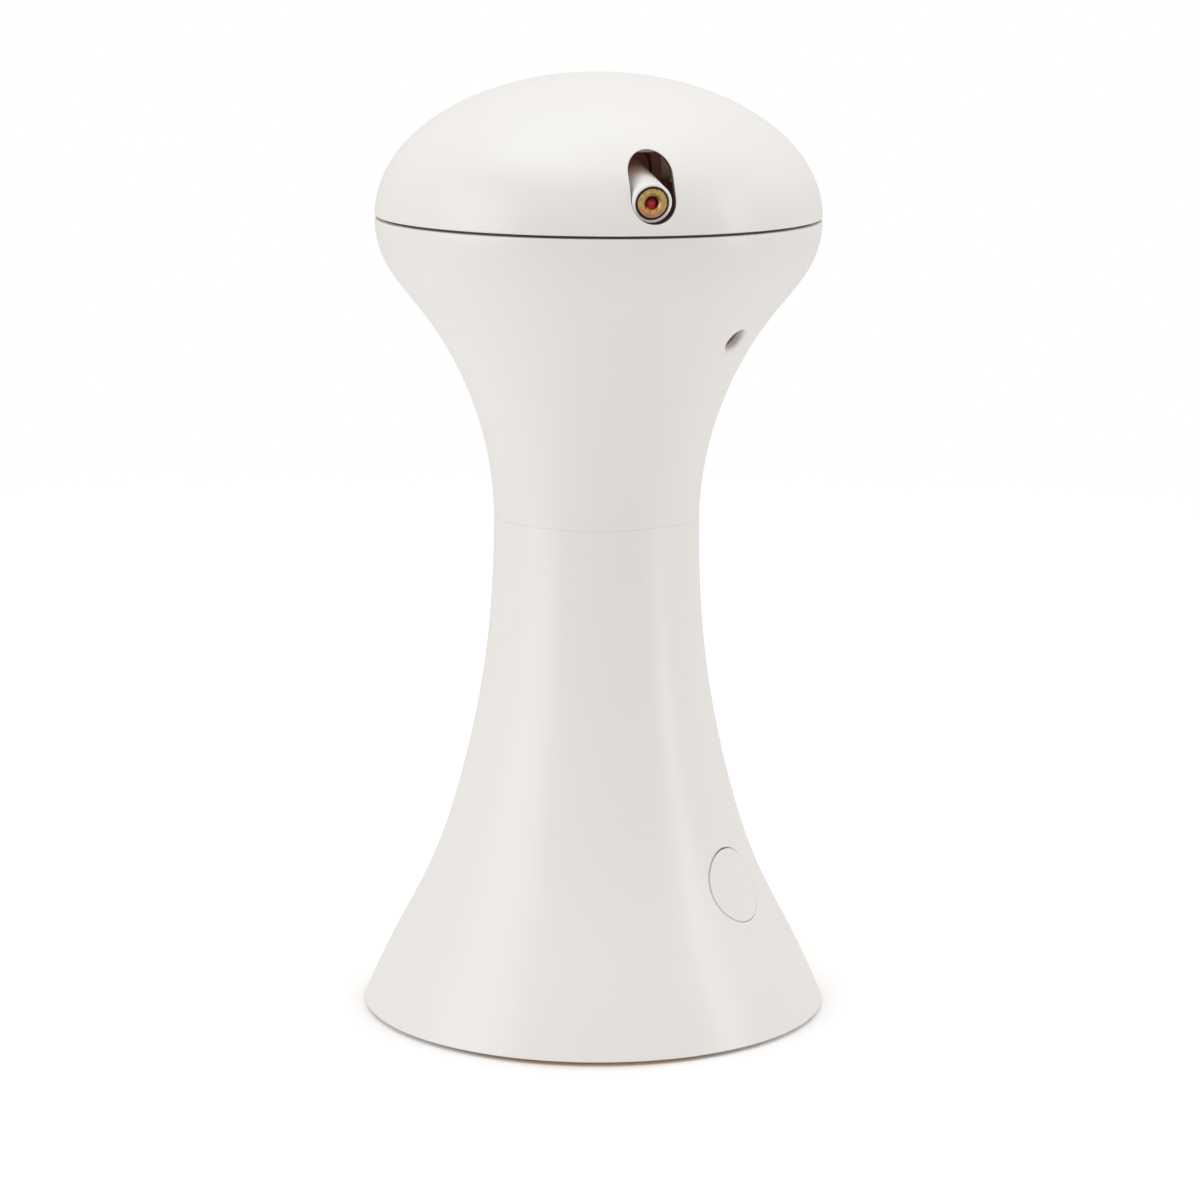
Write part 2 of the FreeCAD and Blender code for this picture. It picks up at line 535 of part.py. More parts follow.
def switch_board():
    depth = -SWITCH_DEPTH
    board = block(-SWITCH_BOARD_L / 2, SWITCH_BOARD_L / 2, -SWITCH_BOARD_W / 2, SWITCH_BOARD_W / 2,
                  depth - BOARD_T, depth)
    holes = [cylinder(SMALL_SCREW_R + 0.2, depth - BOARD_T - 1, depth + 1, side * SWITCH_POST_X)
             for side in (-1, 1)]
    return on_button(board.cut(holes))


def tact_switch():
    """Body of the push switch, bored for its plunger."""
    half, low = SWITCH_SIZE / 2, -SWITCH_DEPTH
    body = block(-half, half, -half, half, low, low + SWITCH_H)
    bore = cylinder(PLUNGER_R + SHAFT_GAP, low + 0.8, low + SWITCH_H + 1)
    return on_button(body.cut(bore))


def switch_plunger():
    low = -SWITCH_DEPTH + 0.8 + BUTTON_TRAVEL + 0.3
    return on_button(cylinder(PLUNGER_R, low, -SWITCH_DEPTH + SWITCH_H + BUTTON_TRAVEL + 0.4))


def button_cap():
    """Round key flush with the stand, kept in by a lip behind the wall."""
    face = turned_solid(inset(BASE_CURVE, -BUTTON_PROUD), RIM_Z, NECK_Z)
    behind = turned_solid(inset(BASE_CURVE, BUTTON_SKIN), RIM_Z - WALL, NECK_Z)
    rod = on_button(cylinder(BUTTON_R, -BUTTON_LIP_DEPTH - BUTTON_LIP_T, 2 * WALL))
    crown = rod.common(face)
    hollow = on_button(cylinder(BUTTON_R - 1.4, -BUTTON_LIP_DEPTH - 2, 2 * WALL)).common(behind)
    lip = on_button(ring(BUTTON_R + BUTTON_LIP, BUTTON_R - 1.4, -BUTTON_LIP_DEPTH - BUTTON_LIP_T,
                         -BUTTON_LIP_DEPTH))
    stem_low = -SWITCH_DEPTH + SWITCH_H + BUTTON_TRAVEL + 0.4
    stem = on_button(cylinder(PLUNGER_R, stem_low, -BUTTON_SKIN / 2))
    return fused(crown.cut(hollow), lip, stem)


def base_screws():
    return [screw(PLATE_TOP - 1.0, BASE_SCREW_L, *spot(BASE_SCREW_RING_R, azimuth), upward=True)
            for azimuth in BASE_SCREW_AZ]


def board_screws():
    """Small screws of the main board and the switch board."""
    small = (SMALL_SCREW_R, SMALL_HEAD_R, SMALL_HEAD_H)
    screws = [screw(MAIN_BOARD_Z + BOARD_T, BOARD_SCREW_L, sx * BOARD_POST_X, sy * BOARD_POST_Y, small)
              for sx in (-1, 1) for sy in (-1, 1)]
    for side in (-1, 1):
        screws.append(on_button(screw(-SWITCH_DEPTH - BOARD_T, BOARD_SCREW_L, side * SWITCH_POST_X, 0,
                                      small, upward=True)))
    return screws


# ---- goblet ----
def goblet_shell():
    """Upper stand: a skin with two ports, a spigot into the base and bosses for the chassis."""
    outer = turned_solid(GOBLET_CURVE, NECK_Z, EQUATOR_Z)
    shell = outer.cut(turned_solid(inset(GOBLET_CURVE, WALL), NECK_Z - 1, EQUATOR_Z + 1))
    rim = [edge for edge in shell.Edges if edge.BoundBox.ZMin > EQUATOR_Z - 1e-6
           and edge.BoundBox.XMax > EQUATOR_R - 0.1]
    shell = shell.makeFillet(EDGE_ROUND, rim)
    spigot = ring(SPIGOT_R, SPIGOT_R - WALL, SPIGOT_Z, NECK_Z + WALL)
    floor = ring(SPIGOT_R - WALL / 2, FLANGE_HOLE_R, SPIGOT_Z, SPIGOT_Z + FLANGE_T)
    pieces = [spigot, floor]
    for azimuth in NECK_SCREW_AZ:
        pieces.append(cylinder(BOSS_R, SPIGOT_Z + 1, SPIGOT_Z + NECK_SCREW_L + 0.5,
                               *spot(NECK_SCREW_RING_R, azimuth)))
    core = turned_solid(inset(GOBLET_CURVE, WALL / 2), NECK_Z - 1, EQUATOR_Z)
    for azimuth in CHASSIS_BOSS_AZ:
        x, y = spot(CHASSIS_BOSS_RING_R, azimuth)
        pieces.append(cylinder(BOSS_R, NECK_Z + 1, CHASSIS_Z, x, y).common(core))
    shell = fused(shell, *pieces)
    cuts = [aimed(cylinder(PORT_R, -2 * WALL, 2 * WALL), PORT_AT, PORT_Z, PORT_TILT, azimuth)
            for azimuth in PORT_AZ]
    for azimuth in NECK_SCREW_AZ:
        x, y = spot(NECK_SCREW_RING_R, azimuth)
        cuts.append(cylinder(SCREW_R, SPIGOT_Z - 1, SPIGOT_Z + NECK_SCREW_L - 0.5, x, y))
    for azimuth in CHASSIS_BOSS_AZ:
        x, y = spot(CHASSIS_BOSS_RING_R, azimuth)
        cuts.append(cylinder(SCREW_R, CHASSIS_Z - 8.0, CHASSIS_Z + 1, x, y))
    return shell.cut(cuts)


def neck_screws():
    return [screw(SPIGOT_Z - FLANGE_T, NECK_SCREW_L, *spot(NECK_SCREW_RING_R, azimuth), upward=True)
            for azimuth in NECK_SCREW_AZ]


# ---- drive chassis ----
def chassis_plate(z_low):
    """Round plate with the holes that both chassis plates share."""
    plate = cylinder(CHASSIS_R, z_low, z_low + CHASSIS_T)
    cuts = [cylinder(BUSH_R, z_low - 1, z_low + CHASSIS_T + 1)]
    for azimuth in POST_AZ:
        cuts.append(cylinder(SCREW_R + 0.1, z_low - 1, z_low + CHASSIS_T + 1,
                             *spot(POST_RING_R, azimuth)))
    return plate.cut(cuts)


def chassis_lower_plate():
    """Carries the gearmotor, the lower bush and the brush holder."""
    low, top = CHASSIS_Z - 1, CHASSIS_Z + CHASSIS_T + 1
    x, y = spot(MOTOR_RING_R, MOTOR_AZ)
    cuts = [cylinder(MOTOR_SHAFT_R + 0.8, low, top, x, y)]
    for side in (-1, 1):
        screw_y = y + side * MOTOR_SCREW_PITCH / 2
        cuts.append(cylinder(SMALL_SCREW_R + 0.1, low, top, x, screw_y))
        cuts.append(cylinder(SMALL_HEAD_R + 0.2, top - 1 - SMALL_HEAD_H - 0.2, top, x, screw_y))
    for azimuth in CHASSIS_BOSS_AZ:
        cuts.append(cylinder(SCREW_R + 0.2, low, top, *spot(CHASSIS_BOSS_RING_R, azimuth)))
    return chassis_plate(CHASSIS_Z).cut(cuts)


def chassis_upper_plate():
    """Carries the upper bush, and is relieved over the motor pinion."""
    x, y = spot(MOTOR_RING_R, MOTOR_AZ)
    window = cylinder(PINION_R + GEAR_MODULE + 1.0, UPPER_PLATE_Z - 1, UPPER_PLATE_Z + CHASSIS_T + 1, x, y)
    return chassis_plate(UPPER_PLATE_Z).cut(window)


def chassis_posts():
    low, high = CHASSIS_Z + CHASSIS_T, UPPER_PLATE_Z
    return [ring(POST_R, SCREW_R, low, high, *spot(POST_RING_R, azimuth)) for azimuth in POST_AZ]


def chassis_screws():
    """Screws of the chassis: plate to goblet, and through the posts."""
    screws = [screw(CHASSIS_Z + CHASSIS_T, 8.0, *spot(CHASSIS_BOSS_RING_R, azimuth))
              for azimuth in CHASSIS_BOSS_AZ]
    length = 2 * CHASSIS_T + CHASSIS_ROOM + 1.0
    for azimuth in POST_AZ:
        screws.append(screw(UPPER_PLATE_Z + CHASSIS_T, length, *spot(POST_RING_R, azimuth)))
    return screws


def spindle_bushes():
    """Flanged bushes, one in each chassis plate, with their collars inside."""
    low = CHASSIS_Z + CHASSIS_T
    lower = fused(cylinder(BUSH_R, CHASSIS_Z, low), cylinder(BUSH_COLLAR_R, low, low + BUSH_COLLAR_T))
    upper = fused(cylinder(BUSH_R, UPPER_PLATE_Z, UPPER_PLATE_Z + CHASSIS_T),
                  cylinder(BUSH_COLLAR_R, UPPER_PLATE_Z - BUSH_COLLAR_T, UPPER_PLATE_Z))
    bore = cylinder(SPINDLE_R + SHAFT_GAP, CHASSIS_Z - 1, UPPER_PLATE_Z + CHASSIS_T + 1)
    return [lower.cut(bore), upper.cut(bore)]


def gearmotor():
    """Small gearmotor, its front face at Z = 0 and its body running down, bored for its shaft."""
    gearbox = block(-MOTOR_D / 2, MOTOR_D / 2, -MOTOR_W / 2, MOTOR_W / 2, -GEARBOX_L, 0)
    round_can = cylinder(MOTOR_W / 2, -GEARBOX_L - MOTOR_CAN_L, -GEARBOX_L)
    can = round_can.common(block(-MOTOR_D / 2, MOTOR_D / 2, -MOTOR_W, MOTOR_W,
                                 -GEARBOX_L - MOTOR_CAN_L, -GEARBOX_L))
    tail = cylinder(2.0, -GEARBOX_L - MOTOR_CAN_L - 0.8, -GEARBOX_L - MOTOR_CAN_L)
    body = fused(gearbox, can, tail)
    cuts = [cylinder(MOTOR_SHAFT_R + SHAFT_GAP, -MOTOR_SHAFT_DEPTH, 1)]
    for side in (-1, 1):
        cuts.append(cylinder(SMALL_SCREW_R, -3.4, 1, 0, side * MOTOR_SCREW_PITCH / 2))
    return body.cut(cuts)


def spin_motor():
    motor = gearmotor()
    motor.translate(V(*spot(MOTOR_RING_R, MOTOR_AZ), CHASSIS_Z))
    return motor


def motor_screws():
    """Small screws that hold the gearmotor to the lower plate."""
    x, y = spot(MOTOR_RING_R, MOTOR_AZ)
    small = (SMALL_SCREW_R, SMALL_HEAD_R, SMALL_HEAD_H)
    seat = CHASSIS_Z + CHASSIS_T - SMALL_HEAD_H - 0.2
    return [screw(seat, 4.0, x, y + side * MOTOR_SCREW_PITCH / 2, small) for side in (-1, 1)]


def tooth_half_angle(teeth, radius):
    """Half the angle of an involute tooth at a radius, thinned by the backlash."""
    pitch_r = GEAR_MODULE * teeth / 2
    base_r = pitch_r * math.cos(math.radians(PRESSURE_ANGLE))
    at_pitch = math.radians(PRESSURE_ANGLE)
    at_radius = math.acos(min(1.0, base_r / max(radius, base_r)))
    spread = (math.tan(at_pitch) - at_pitch) - (math.tan(at_radius) - at_radius)
    return math.pi / (2 * teeth) - BACKLASH / (2 * pitch_r) + spread


def tooth_points(teeth, centre):
    """Corners of one tooth, from root to tip and back, at an angle."""
    pitch_r = GEAR_MODULE * teeth / 2
    radii = (pitch_r - 1.25 * GEAR_MODULE, pitch_r, pitch_r + 0.95 * GEAR_MODULE)
    rising = [(r, centre - tooth_half_angle(teeth, r)) for r in radii]
    falling = [(r, centre + tooth_half_angle(teeth, r)) for r in reversed(radii)]
    return [V(r * math.cos(a), r * math.sin(a), 0) for r, a in rising + falling]


def gear(teeth, width, phase):
    """Spur gear about Z from Z = 0, with a tooth centred at the phase, in radians from +X."""
    corners = []
    for index in range(teeth):
        corners += tooth_points(teeth, phase + 2 * math.pi * index / teeth)
    face = Part.Face(Part.makePolygon(corners + [corners[0]]))
    return face.extrude(V(0, 0, width))


def sector(width):
    """Toothed sector about Z, its line of centres along +X, with a web back to its hub."""
    step = 2 * math.pi / SECTOR_TEETH
    corners = []
    for index in range(SECTOR_LOW, SECTOR_HIGH + 1):
        corners += tooth_points(SECTOR_TEETH, index * step)
    face = Part.Face(Part.makePolygon(corners + [V(0, 0, 0), corners[0]]))
    return face.extrude(V(0, 0, width))


def drive_pinion():
    """Pinion on the gearmotor's shaft; a tooth faces the spindle."""
    x, y = spot(MOTOR_RING_R, MOTOR_AZ)
    pinion = gear(PINION_TEETH, PINION_W, math.atan2(-y, -x))
    pinion = pinion.cut(cylinder(MOTOR_SHAFT_R, -1, PINION_W + 1))
    pinion.translate(V(x, y, GEAR_Z - (PINION_W - GEAR_W) / 2))
    return pinion


def drive_shaft():
    x, y = spot(MOTOR_RING_R, MOTOR_AZ)
    return cylinder(MOTOR_SHAFT_R, CHASSIS_Z - MOTOR_SHAFT_DEPTH + 0.5, GEAR_Z + PINION_W, x, y)


def brush_holder():
    """Block under the lower plate that carries the brushes."""
    return block(-HOLDER_OUT_R, -HOLDER_IN_R, -HOLDER_W / 2, HOLDER_W / 2, DRUM_Z, CHASSIS_Z)


def ring_heights():
    return [DRUM_Z + DRUM_L / 2 + (index - (RING_COUNT - 1) / 2) * RING_PITCH
            for index in range(RING_COUNT)]


def spindle_brushes():
    """Leaf brushes: each runs from the holder to the side of its ring."""
    brushes = []
    reach = RING_R + BRUSH_GAP
    for height in ring_heights():
        leaf = block(-HOLDER_IN_R, BRUSH_T - reach, -BRUSH_T / 2 - 3.0, BRUSH_T / 2 - 3.0,
                     height - BRUSH_W / 2, height + BRUSH_W / 2)
        wiper = block(-reach - BRUSH_T, -reach, -3.0, 3.0, height - BRUSH_W / 2, height + BRUSH_W / 2)
        brushes.append(fused(leaf.cut(cylinder(reach, DRUM_Z - 1, CHASSIS_Z)), wiper))
    return brushes


# ---- head ----
def spindle():
    """Hollow steel shaft with a shoulder under the turntable."""
    shaft = fused(cylinder(SPINDLE_R, DRUM_Z - 1.0, TABLE_TOP),
                  cylinder(COLLAR_R, TABLE_TOP - TABLE_HUB_L - COLLAR_L, TABLE_TOP - TABLE_HUB_L))
    return shaft.cut(cylinder(SPINDLE_BORE_R, DRUM_Z - 2, TABLE_TOP + 1))


def spindle_gear():
    """Gear on the spindle, its hub held between the collars of the bushes."""
    x, y = spot(MOTOR_RING_R, MOTOR_AZ)
    facing = math.atan2(y, x)
    wheel = gear(SPINDLE_TEETH, GEAR_W, facing + math.pi / SPINDLE_TEETH)
    wheel.translate(V(0, 0, GEAR_Z))
    hub_low = CHASSIS_Z + CHASSIS_T + BUSH_COLLAR_T + 0.15
    hub = cylinder(HUB_R, hub_low, UPPER_PLATE_Z - BUSH_COLLAR_T - 0.15)
    return fused(wheel, hub).cut(cylinder(SPINDLE_R, CHASSIS_Z, UPPER_PLATE_Z))


def slip_ring_drum():
    return ring(DRUM_R, SPINDLE_R, DRUM_Z, DRUM_Z + DRUM_L)


def slip_rings():
    return [ring(RING_R, DRUM_R, height - RING_W / 2, height + RING_W / 2) for height in ring_heights()]


def dome_shell():
    """Turning head: half an ellipsoid with the slot of the upper barrel and three screw bosses."""
    inner_r, inner_rise = EQUATOR_R - WALL, DOME_RISE - WALL
    shell = half_ellipsoid(EQUATOR_R, DOME_RISE, DOME_Z).cut(half_ellipsoid(inner_r, inner_rise, DOME_Z))
    core = half_ellipsoid(EQUATOR_R - WALL / 2, DOME_RISE - WALL / 2, DOME_Z)
    bosses = [cylinder(BOSS_R, TABLE_TOP, DOME_Z + DOME_RISE, *spot(DOME_SCREW_RING_R, azimuth)).common(core)
              for azimuth in DOME_SCREW_AZ]
    half = SLOT_W / 2
    slot = [block(-half, half, -EQUATOR_R - 5, -PIVOT_R, SLOT_LOW + half, SLOT_HIGH - half)]
    for height in (SLOT_LOW + half, SLOT_HIGH - half):
        slot.append(Part.makeCylinder(half, EQUATOR_R + 5 - PIVOT_R, V(0, -PIVOT_R, height), -Y_AXIS))
    shell = fused(shell, *bosses).cut(fused(slot[0], *slot[1:]))
    rim = [edge for edge in shell.Edges if edge.BoundBox.ZMax < DOME_Z + 1e-6
           and edge.BoundBox.XMax > EQUATOR_R - 0.1]
    shell = shell.makeFillet(EDGE_ROUND, rim)
    holes = [cylinder(SCREW_R, TABLE_Z, TABLE_Z + DOME_SCREW_L, *spot(DOME_SCREW_RING_R, azimuth))
             for azimuth in DOME_SCREW_AZ]
    return shell.cut(holes)


def dome_screws():
    return [screw(TABLE_Z, DOME_SCREW_L, *spot(DOME_SCREW_RING_R, azimuth), upward=True)
            for azimuth in DOME_SCREW_AZ]


def turntable():
    """Floor of the head: a ribbed disc on the spindle, with a skirt inside the goblet's mouth."""
    slope = math.sqrt(1 - (TABLE_T / (DOME_RISE - WALL)) ** 2)
    disc_r = (EQUATOR_R - WALL) * slope - RUN_GAP
    disc = cylinder(disc_r, TABLE_Z, TABLE_TOP)
    hub = cylinder(TABLE_HUB_R, TABLE_TOP - TABLE_HUB_L, TABLE_TOP)
    skirt = ring(TABLE_SKIRT_R, TABLE_SKIRT_R - TABLE_SKIRT_T, TABLE_Z - TABLE_SKIRT_L, TABLE_Z + 0.5)
    pieces = [hub, skirt]
    first_rib = LOWER_AZ + 180 / TABLE_RIBS
    for index in range(TABLE_RIBS):
        rib = block(-TABLE_RIB_T / 2, TABLE_RIB_T / 2, -TABLE_SKIRT_R + 1, -SPINDLE_R - 1,
                    TABLE_Z - TABLE_RIB_H, TABLE_Z + 0.5)
        pieces.append(turned(rib, first_rib + index * 360 / TABLE_RIBS))
    shape = fused(disc, *pieces)
    cuts = [cylinder(SPINDLE_R, TABLE_Z - TABLE_HUB_L, TABLE_TOP + 1)]
    for azimuth in DOME_SCREW_AZ:
        cuts.append(cylinder(SCREW_R + 0.2, TABLE_Z - 1, TABLE_TOP + 1, *spot(DOME_SCREW_RING_R, azimuth)))
    for x, y in bracket_screw_spots():
        cuts.append(cylinder(SCREW_R, TABLE_Z - 1, TABLE_TOP + 1, x, y))
    for x, y in hanger_screw_spots():
        cuts.append(cylinder(SCREW_R + 0.2, TABLE_Z - 1, TABLE_TOP + 1, x, y))
    cuts.append(grub(SPINDLE_R, TABLE_HUB_R + 1))
    return shape.cut(cuts)


def grub(from_r, to_r):
    """Cylinder across the hub of the turntable, on the line of its grub screw."""
    height = TABLE_TOP - TABLE_HUB_L + 2.2
    return Part.makeCylinder(1.2, to_r - from_r, V(0, from_r, height), Y_AXIS)


def spindle_screw():
    return grub(SPINDLE_R, TABLE_HUB_R)


# ---- tilt drive ----
def bracket_screw_spots():
    x = BRACKET_PAD_X - BRACKET_PAD_IN
    return [(-CHEEK_X - CHEEK_T + BRACKET_SCREW_IN, -BRACKET_ARM_BACK - BRACKET_SCREW_IN),
            (x, -BRACKET_PAD_FRONT + BRACKET_SCREW_IN), (x, BRACKET_PAD_BACK - BRACKET_SCREW_IN)]


def tilt_bracket():
    """Moulded carrier on the turntable: two cheeks for the trunnions and a plate for the motor."""
    top = TABLE_TOP + BRACKET_T
    cheek_top = PIVOT_Z + TRUNNION_R + 2.5
    arm = block(-CHEEK_X - CHEEK_T, MOTOR_FACE_X + 2, -PIVOT_R - CHEEK_D / 2, -BRACKET_ARM_BACK,
                TABLE_TOP, top)
    pad = block(MOTOR_FACE_X - 1, BRACKET_PAD_X, -BRACKET_PAD_FRONT, BRACKET_PAD_BACK, TABLE_TOP, top)
    base = fused(arm, pad)
    pieces = []
    for side in (-1, 1):
        x = sorted((side * CHEEK_X, side * (CHEEK_X + CHEEK_T)))
        cheek = block(x[0], x[1], -PIVOT_R - CHEEK_D / 2, -PIVOT_R + CHEEK_D / 2, TABLE_TOP + 1, cheek_top)
        edges = [edge for edge in cheek.Edges if edge.BoundBox.ZMin > cheek_top - 1e-6
                 and edge.BoundBox.XLength > 1]
        pieces.append(cheek.makeFillet(CHEEK_D / 2 - 0.5, edges))
    mid_y = TILT_PINION_Y
    pieces.append(block(MOTOR_FACE_X, MOTOR_FACE_X + 2, mid_y - MOTOR_W / 2, mid_y + MOTOR_W / 2,
                        TABLE_TOP + 1, PIVOT_Z + MOTOR_D / 2))
    pieces.append(block(MOTOR_FACE_X + 1, BRACKET_PAD_X, mid_y - 4, mid_y + 4, TABLE_TOP + 1,
                        PIVOT_Z - MOTOR_D / 2))
    shape = fused(base, *pieces)
    cuts = [Part.makeCylinder(TRUNNION_R + SHAFT_GAP, 2 * (CHEEK_X + CHEEK_T) + 2,
                              V(-CHEEK_X - CHEEK_T - 1, -PIVOT_R, PIVOT_Z), X_AXIS),
            Part.makeCylinder(MOTOR_SHAFT_R + 0.6, 6, V(MOTOR_FACE_X - 2, mid_y, PIVOT_Z), X_AXIS)]
    for side in (-1, 1):
        y = mid_y + side * MOTOR_SCREW_PITCH / 2
        cuts.append(Part.makeCylinder(SMALL_SCREW_R + 0.1, 6, V(MOTOR_FACE_X - 2, y, PIVOT_Z), X_AXIS))
        cuts.append(Part.makeCylinder(SMALL_HEAD_R + 0.2, SMALL_HEAD_H + 1.1,
                                      V(MOTOR_FACE_X - 1, y, PIVOT_Z), X_AXIS))
    for x, y in bracket_screw_spots():
        cuts.append(cylinder(SCREW_R + 0.2, TABLE_TOP - 1, top + 1, x, y))
    return shape.cut(cuts)


def tilt_motor():
    motor = gearmotor()
    motor.rotate(V(0, 0, 0), X_AXIS, 180)
    return along_x(motor, MOTOR_FACE_X + 2, TILT_PINION_Y, PIVOT_Z)


def head_screws():
    """Screws of the tilt bracket, of the lower barrel's hanger and of the tilt motor."""
    screws = [screw(TABLE_TOP + BRACKET_T, BRACKET_T + TABLE_T, x, y) for x, y in bracket_screw_spots()]
    for x, y in hanger_screw_spots():
        screws.append(screw(TABLE_TOP, TABLE_T + HANGER_FLANGE_T + 2.0, x, y))
    small = (SMALL_SCREW_R, SMALL_HEAD_R, SMALL_HEAD_H)
    for side in (-1, 1):
        piece = screw(0, 4.0, 0, 0, small, upward=True)
        screws.append(along_x(piece, MOTOR_FACE_X + SMALL_HEAD_H + 0.1,
                              TILT_PINION_Y + side * MOTOR_SCREW_PITCH / 2, PIVOT_Z))
    return screws


def tilt_pinion():
    """Pinion with its shaft, lying along X behind the sector."""
    pinion = gear(PINION_TEETH, SECTOR_W + 0.4, math.pi / 2 + math.pi / PINION_TEETH)
    low, high = 0.0, MOTOR_FACE_X + 2 + MOTOR_SHAFT_DEPTH - 0.5 - (SECTOR_X - 0.2)
    return along_x(fused(pinion, cylinder(MOTOR_SHAFT_R, low, high)), SECTOR_X - 0.2, TILT_PINION_Y, PIVOT_Z)


def tilt_sector():
    """Toothed sector on the end of the trunnion."""
    wheel = sector(SECTOR_W)
    hub = cylinder(TRUNNION_R + 1.6, -0.3, SECTOR_W)
    shape = fused(wheel, hub).cut(cylinder(TRUNNION_R, -1, SECTOR_W + 1))
    shape.rotate(V(0, 0, 0), Z_AXIS, 90)
    return along_x(shape, SECTOR_X, -PIVOT_R, PIVOT_Z)


# ---- laser barrels ----
def barrel(mouth, length):
    """White tube about Z, with its mouth at a height; the mouth's edge is eased."""
    tube = ring(BARREL_R, SLEEVE_R, mouth - length, mouth)
    edges = [edge for edge in tube.Edges if edge.BoundBox.ZMin > mouth - 1e-6
             and edge.BoundBox.XMax > BARREL_R - 0.1]
    return tube.makeFillet(0.25, edges)


def module(mouth):
    """Brass body of the laser, with its aperture at the front."""
    front = mouth + MODULE_STEP
    body = cylinder(MODULE_R, front - MODULE_L, front)
    cone = Part.makeCone(APERTURE_R - 0.2, APERTURE_R + 0.5, 0.7, V(0, 0, front - 0.7))
    hole = cylinder(APERTURE_R, front - LENS_DEPTH, front + 1)
    seat = cylinder(LENS_R + LENS_GAP, front - LENS_DEPTH - LENS_T, front)
    rims = [edge for edge in body.Edges if edge.BoundBox.ZMin > front - 1e-6]
    return body.makeChamfer(0.25, rims).cut([hole, seat, cone])


def lens(mouth):
    """Red lens at the bottom of the aperture, its front face crowned."""
    front = mouth + MODULE_STEP - LENS_DEPTH + LENS_CROWN
    sphere_r = LENS_BOW_R
    rod = cylinder(LENS_R, front - LENS_CROWN - LENS_T, front)
    crown = Part.makeSphere(sphere_r, V(0, 0, front - sphere_r))
    return rod.common(crown)


def sleeve(mouth):
    """Dark insulating sleeve between the module and the barrel."""
    return ring(SLEEVE_R, MODULE_R, mouth - SLEEVE_L, mouth - 0.15)


def driver_board(mouth):
    back = mouth + MODULE_STEP - MODULE_L
    return block(-DRIVER_W / 2, DRIVER_W / 2, -DRIVER_T / 2, DRIVER_T / 2, back - DRIVER_L, back)


def laser_cradle():
    """Collar about the upper barrel, with the trunnions on which it tilts."""
    collar = cylinder(CRADLE_R, -CRADLE_L / 2, CRADLE_L / 2)
    low, high = CHEEK_X + CHEEK_T + 0.3, SECTOR_X + SECTOR_W
    right = Part.makeCylinder(TRUNNION_R, high - BARREL_R - 0.6, V(BARREL_R + 0.6, 0, 0), X_AXIS)
    left = Part.makeCylinder(TRUNNION_R, low - BARREL_R - 0.6, V(-BARREL_R - 0.6, 0, 0), -X_AXIS)
    bore = cylinder(BARREL_R, -CRADLE_L, CRADLE_L, UPPER_SIDE)
    return on_upper_barrel(fused(collar, right, left).cut(bore))


def hanger_screw_spots():
    return [spot(HANGER_IN_R + 2.5, LOWER_AZ), spot(HANGER_OUT_R - 2.5, LOWER_AZ)]


def lower_hanger():
    """Bracket under the turntable that clamps the lower barrel."""
    clamp = block(-CLAMP_W / 2, CLAMP_W / 2, -CLAMP_H / 2, CLAMP_H / 2, -CLAMP_BACK - CLAMP_L, -CLAMP_BACK)
    clamp = on_lower_barrel(clamp)
    flange = turned(block(-HANGER_W / 2, HANGER_W / 2, -HANGER_OUT_R, -HANGER_IN_R,
                          TABLE_Z - HANGER_FLANGE_T, TABLE_Z), LOWER_AZ)
    webs = []
    for side in (-1, 1):
        x = sorted((side * CLAMP_W / 2, side * (CLAMP_W / 2 - WEB_T)))
        web = block(x[0], x[1], -HANGER_OUT_R + 3.0, -HANGER_IN_R - 2.0,
                    clamp.Solids[0].CenterOfMass.z, TABLE_Z - 0.5)
        webs.append(turned(web, LOWER_AZ))
    shape = fused(clamp, flange, *webs)
    cuts = [on_lower_barrel(cylinder(BARREL_R, -LOWER_L - 5, 20))]
    for x, y in hanger_screw_spots():
        cuts.append(cylinder(SCREW_R, TABLE_Z - HANGER_FLANGE_T - 1, TABLE_Z + 1, x, y))
    return shape.cut(cuts)


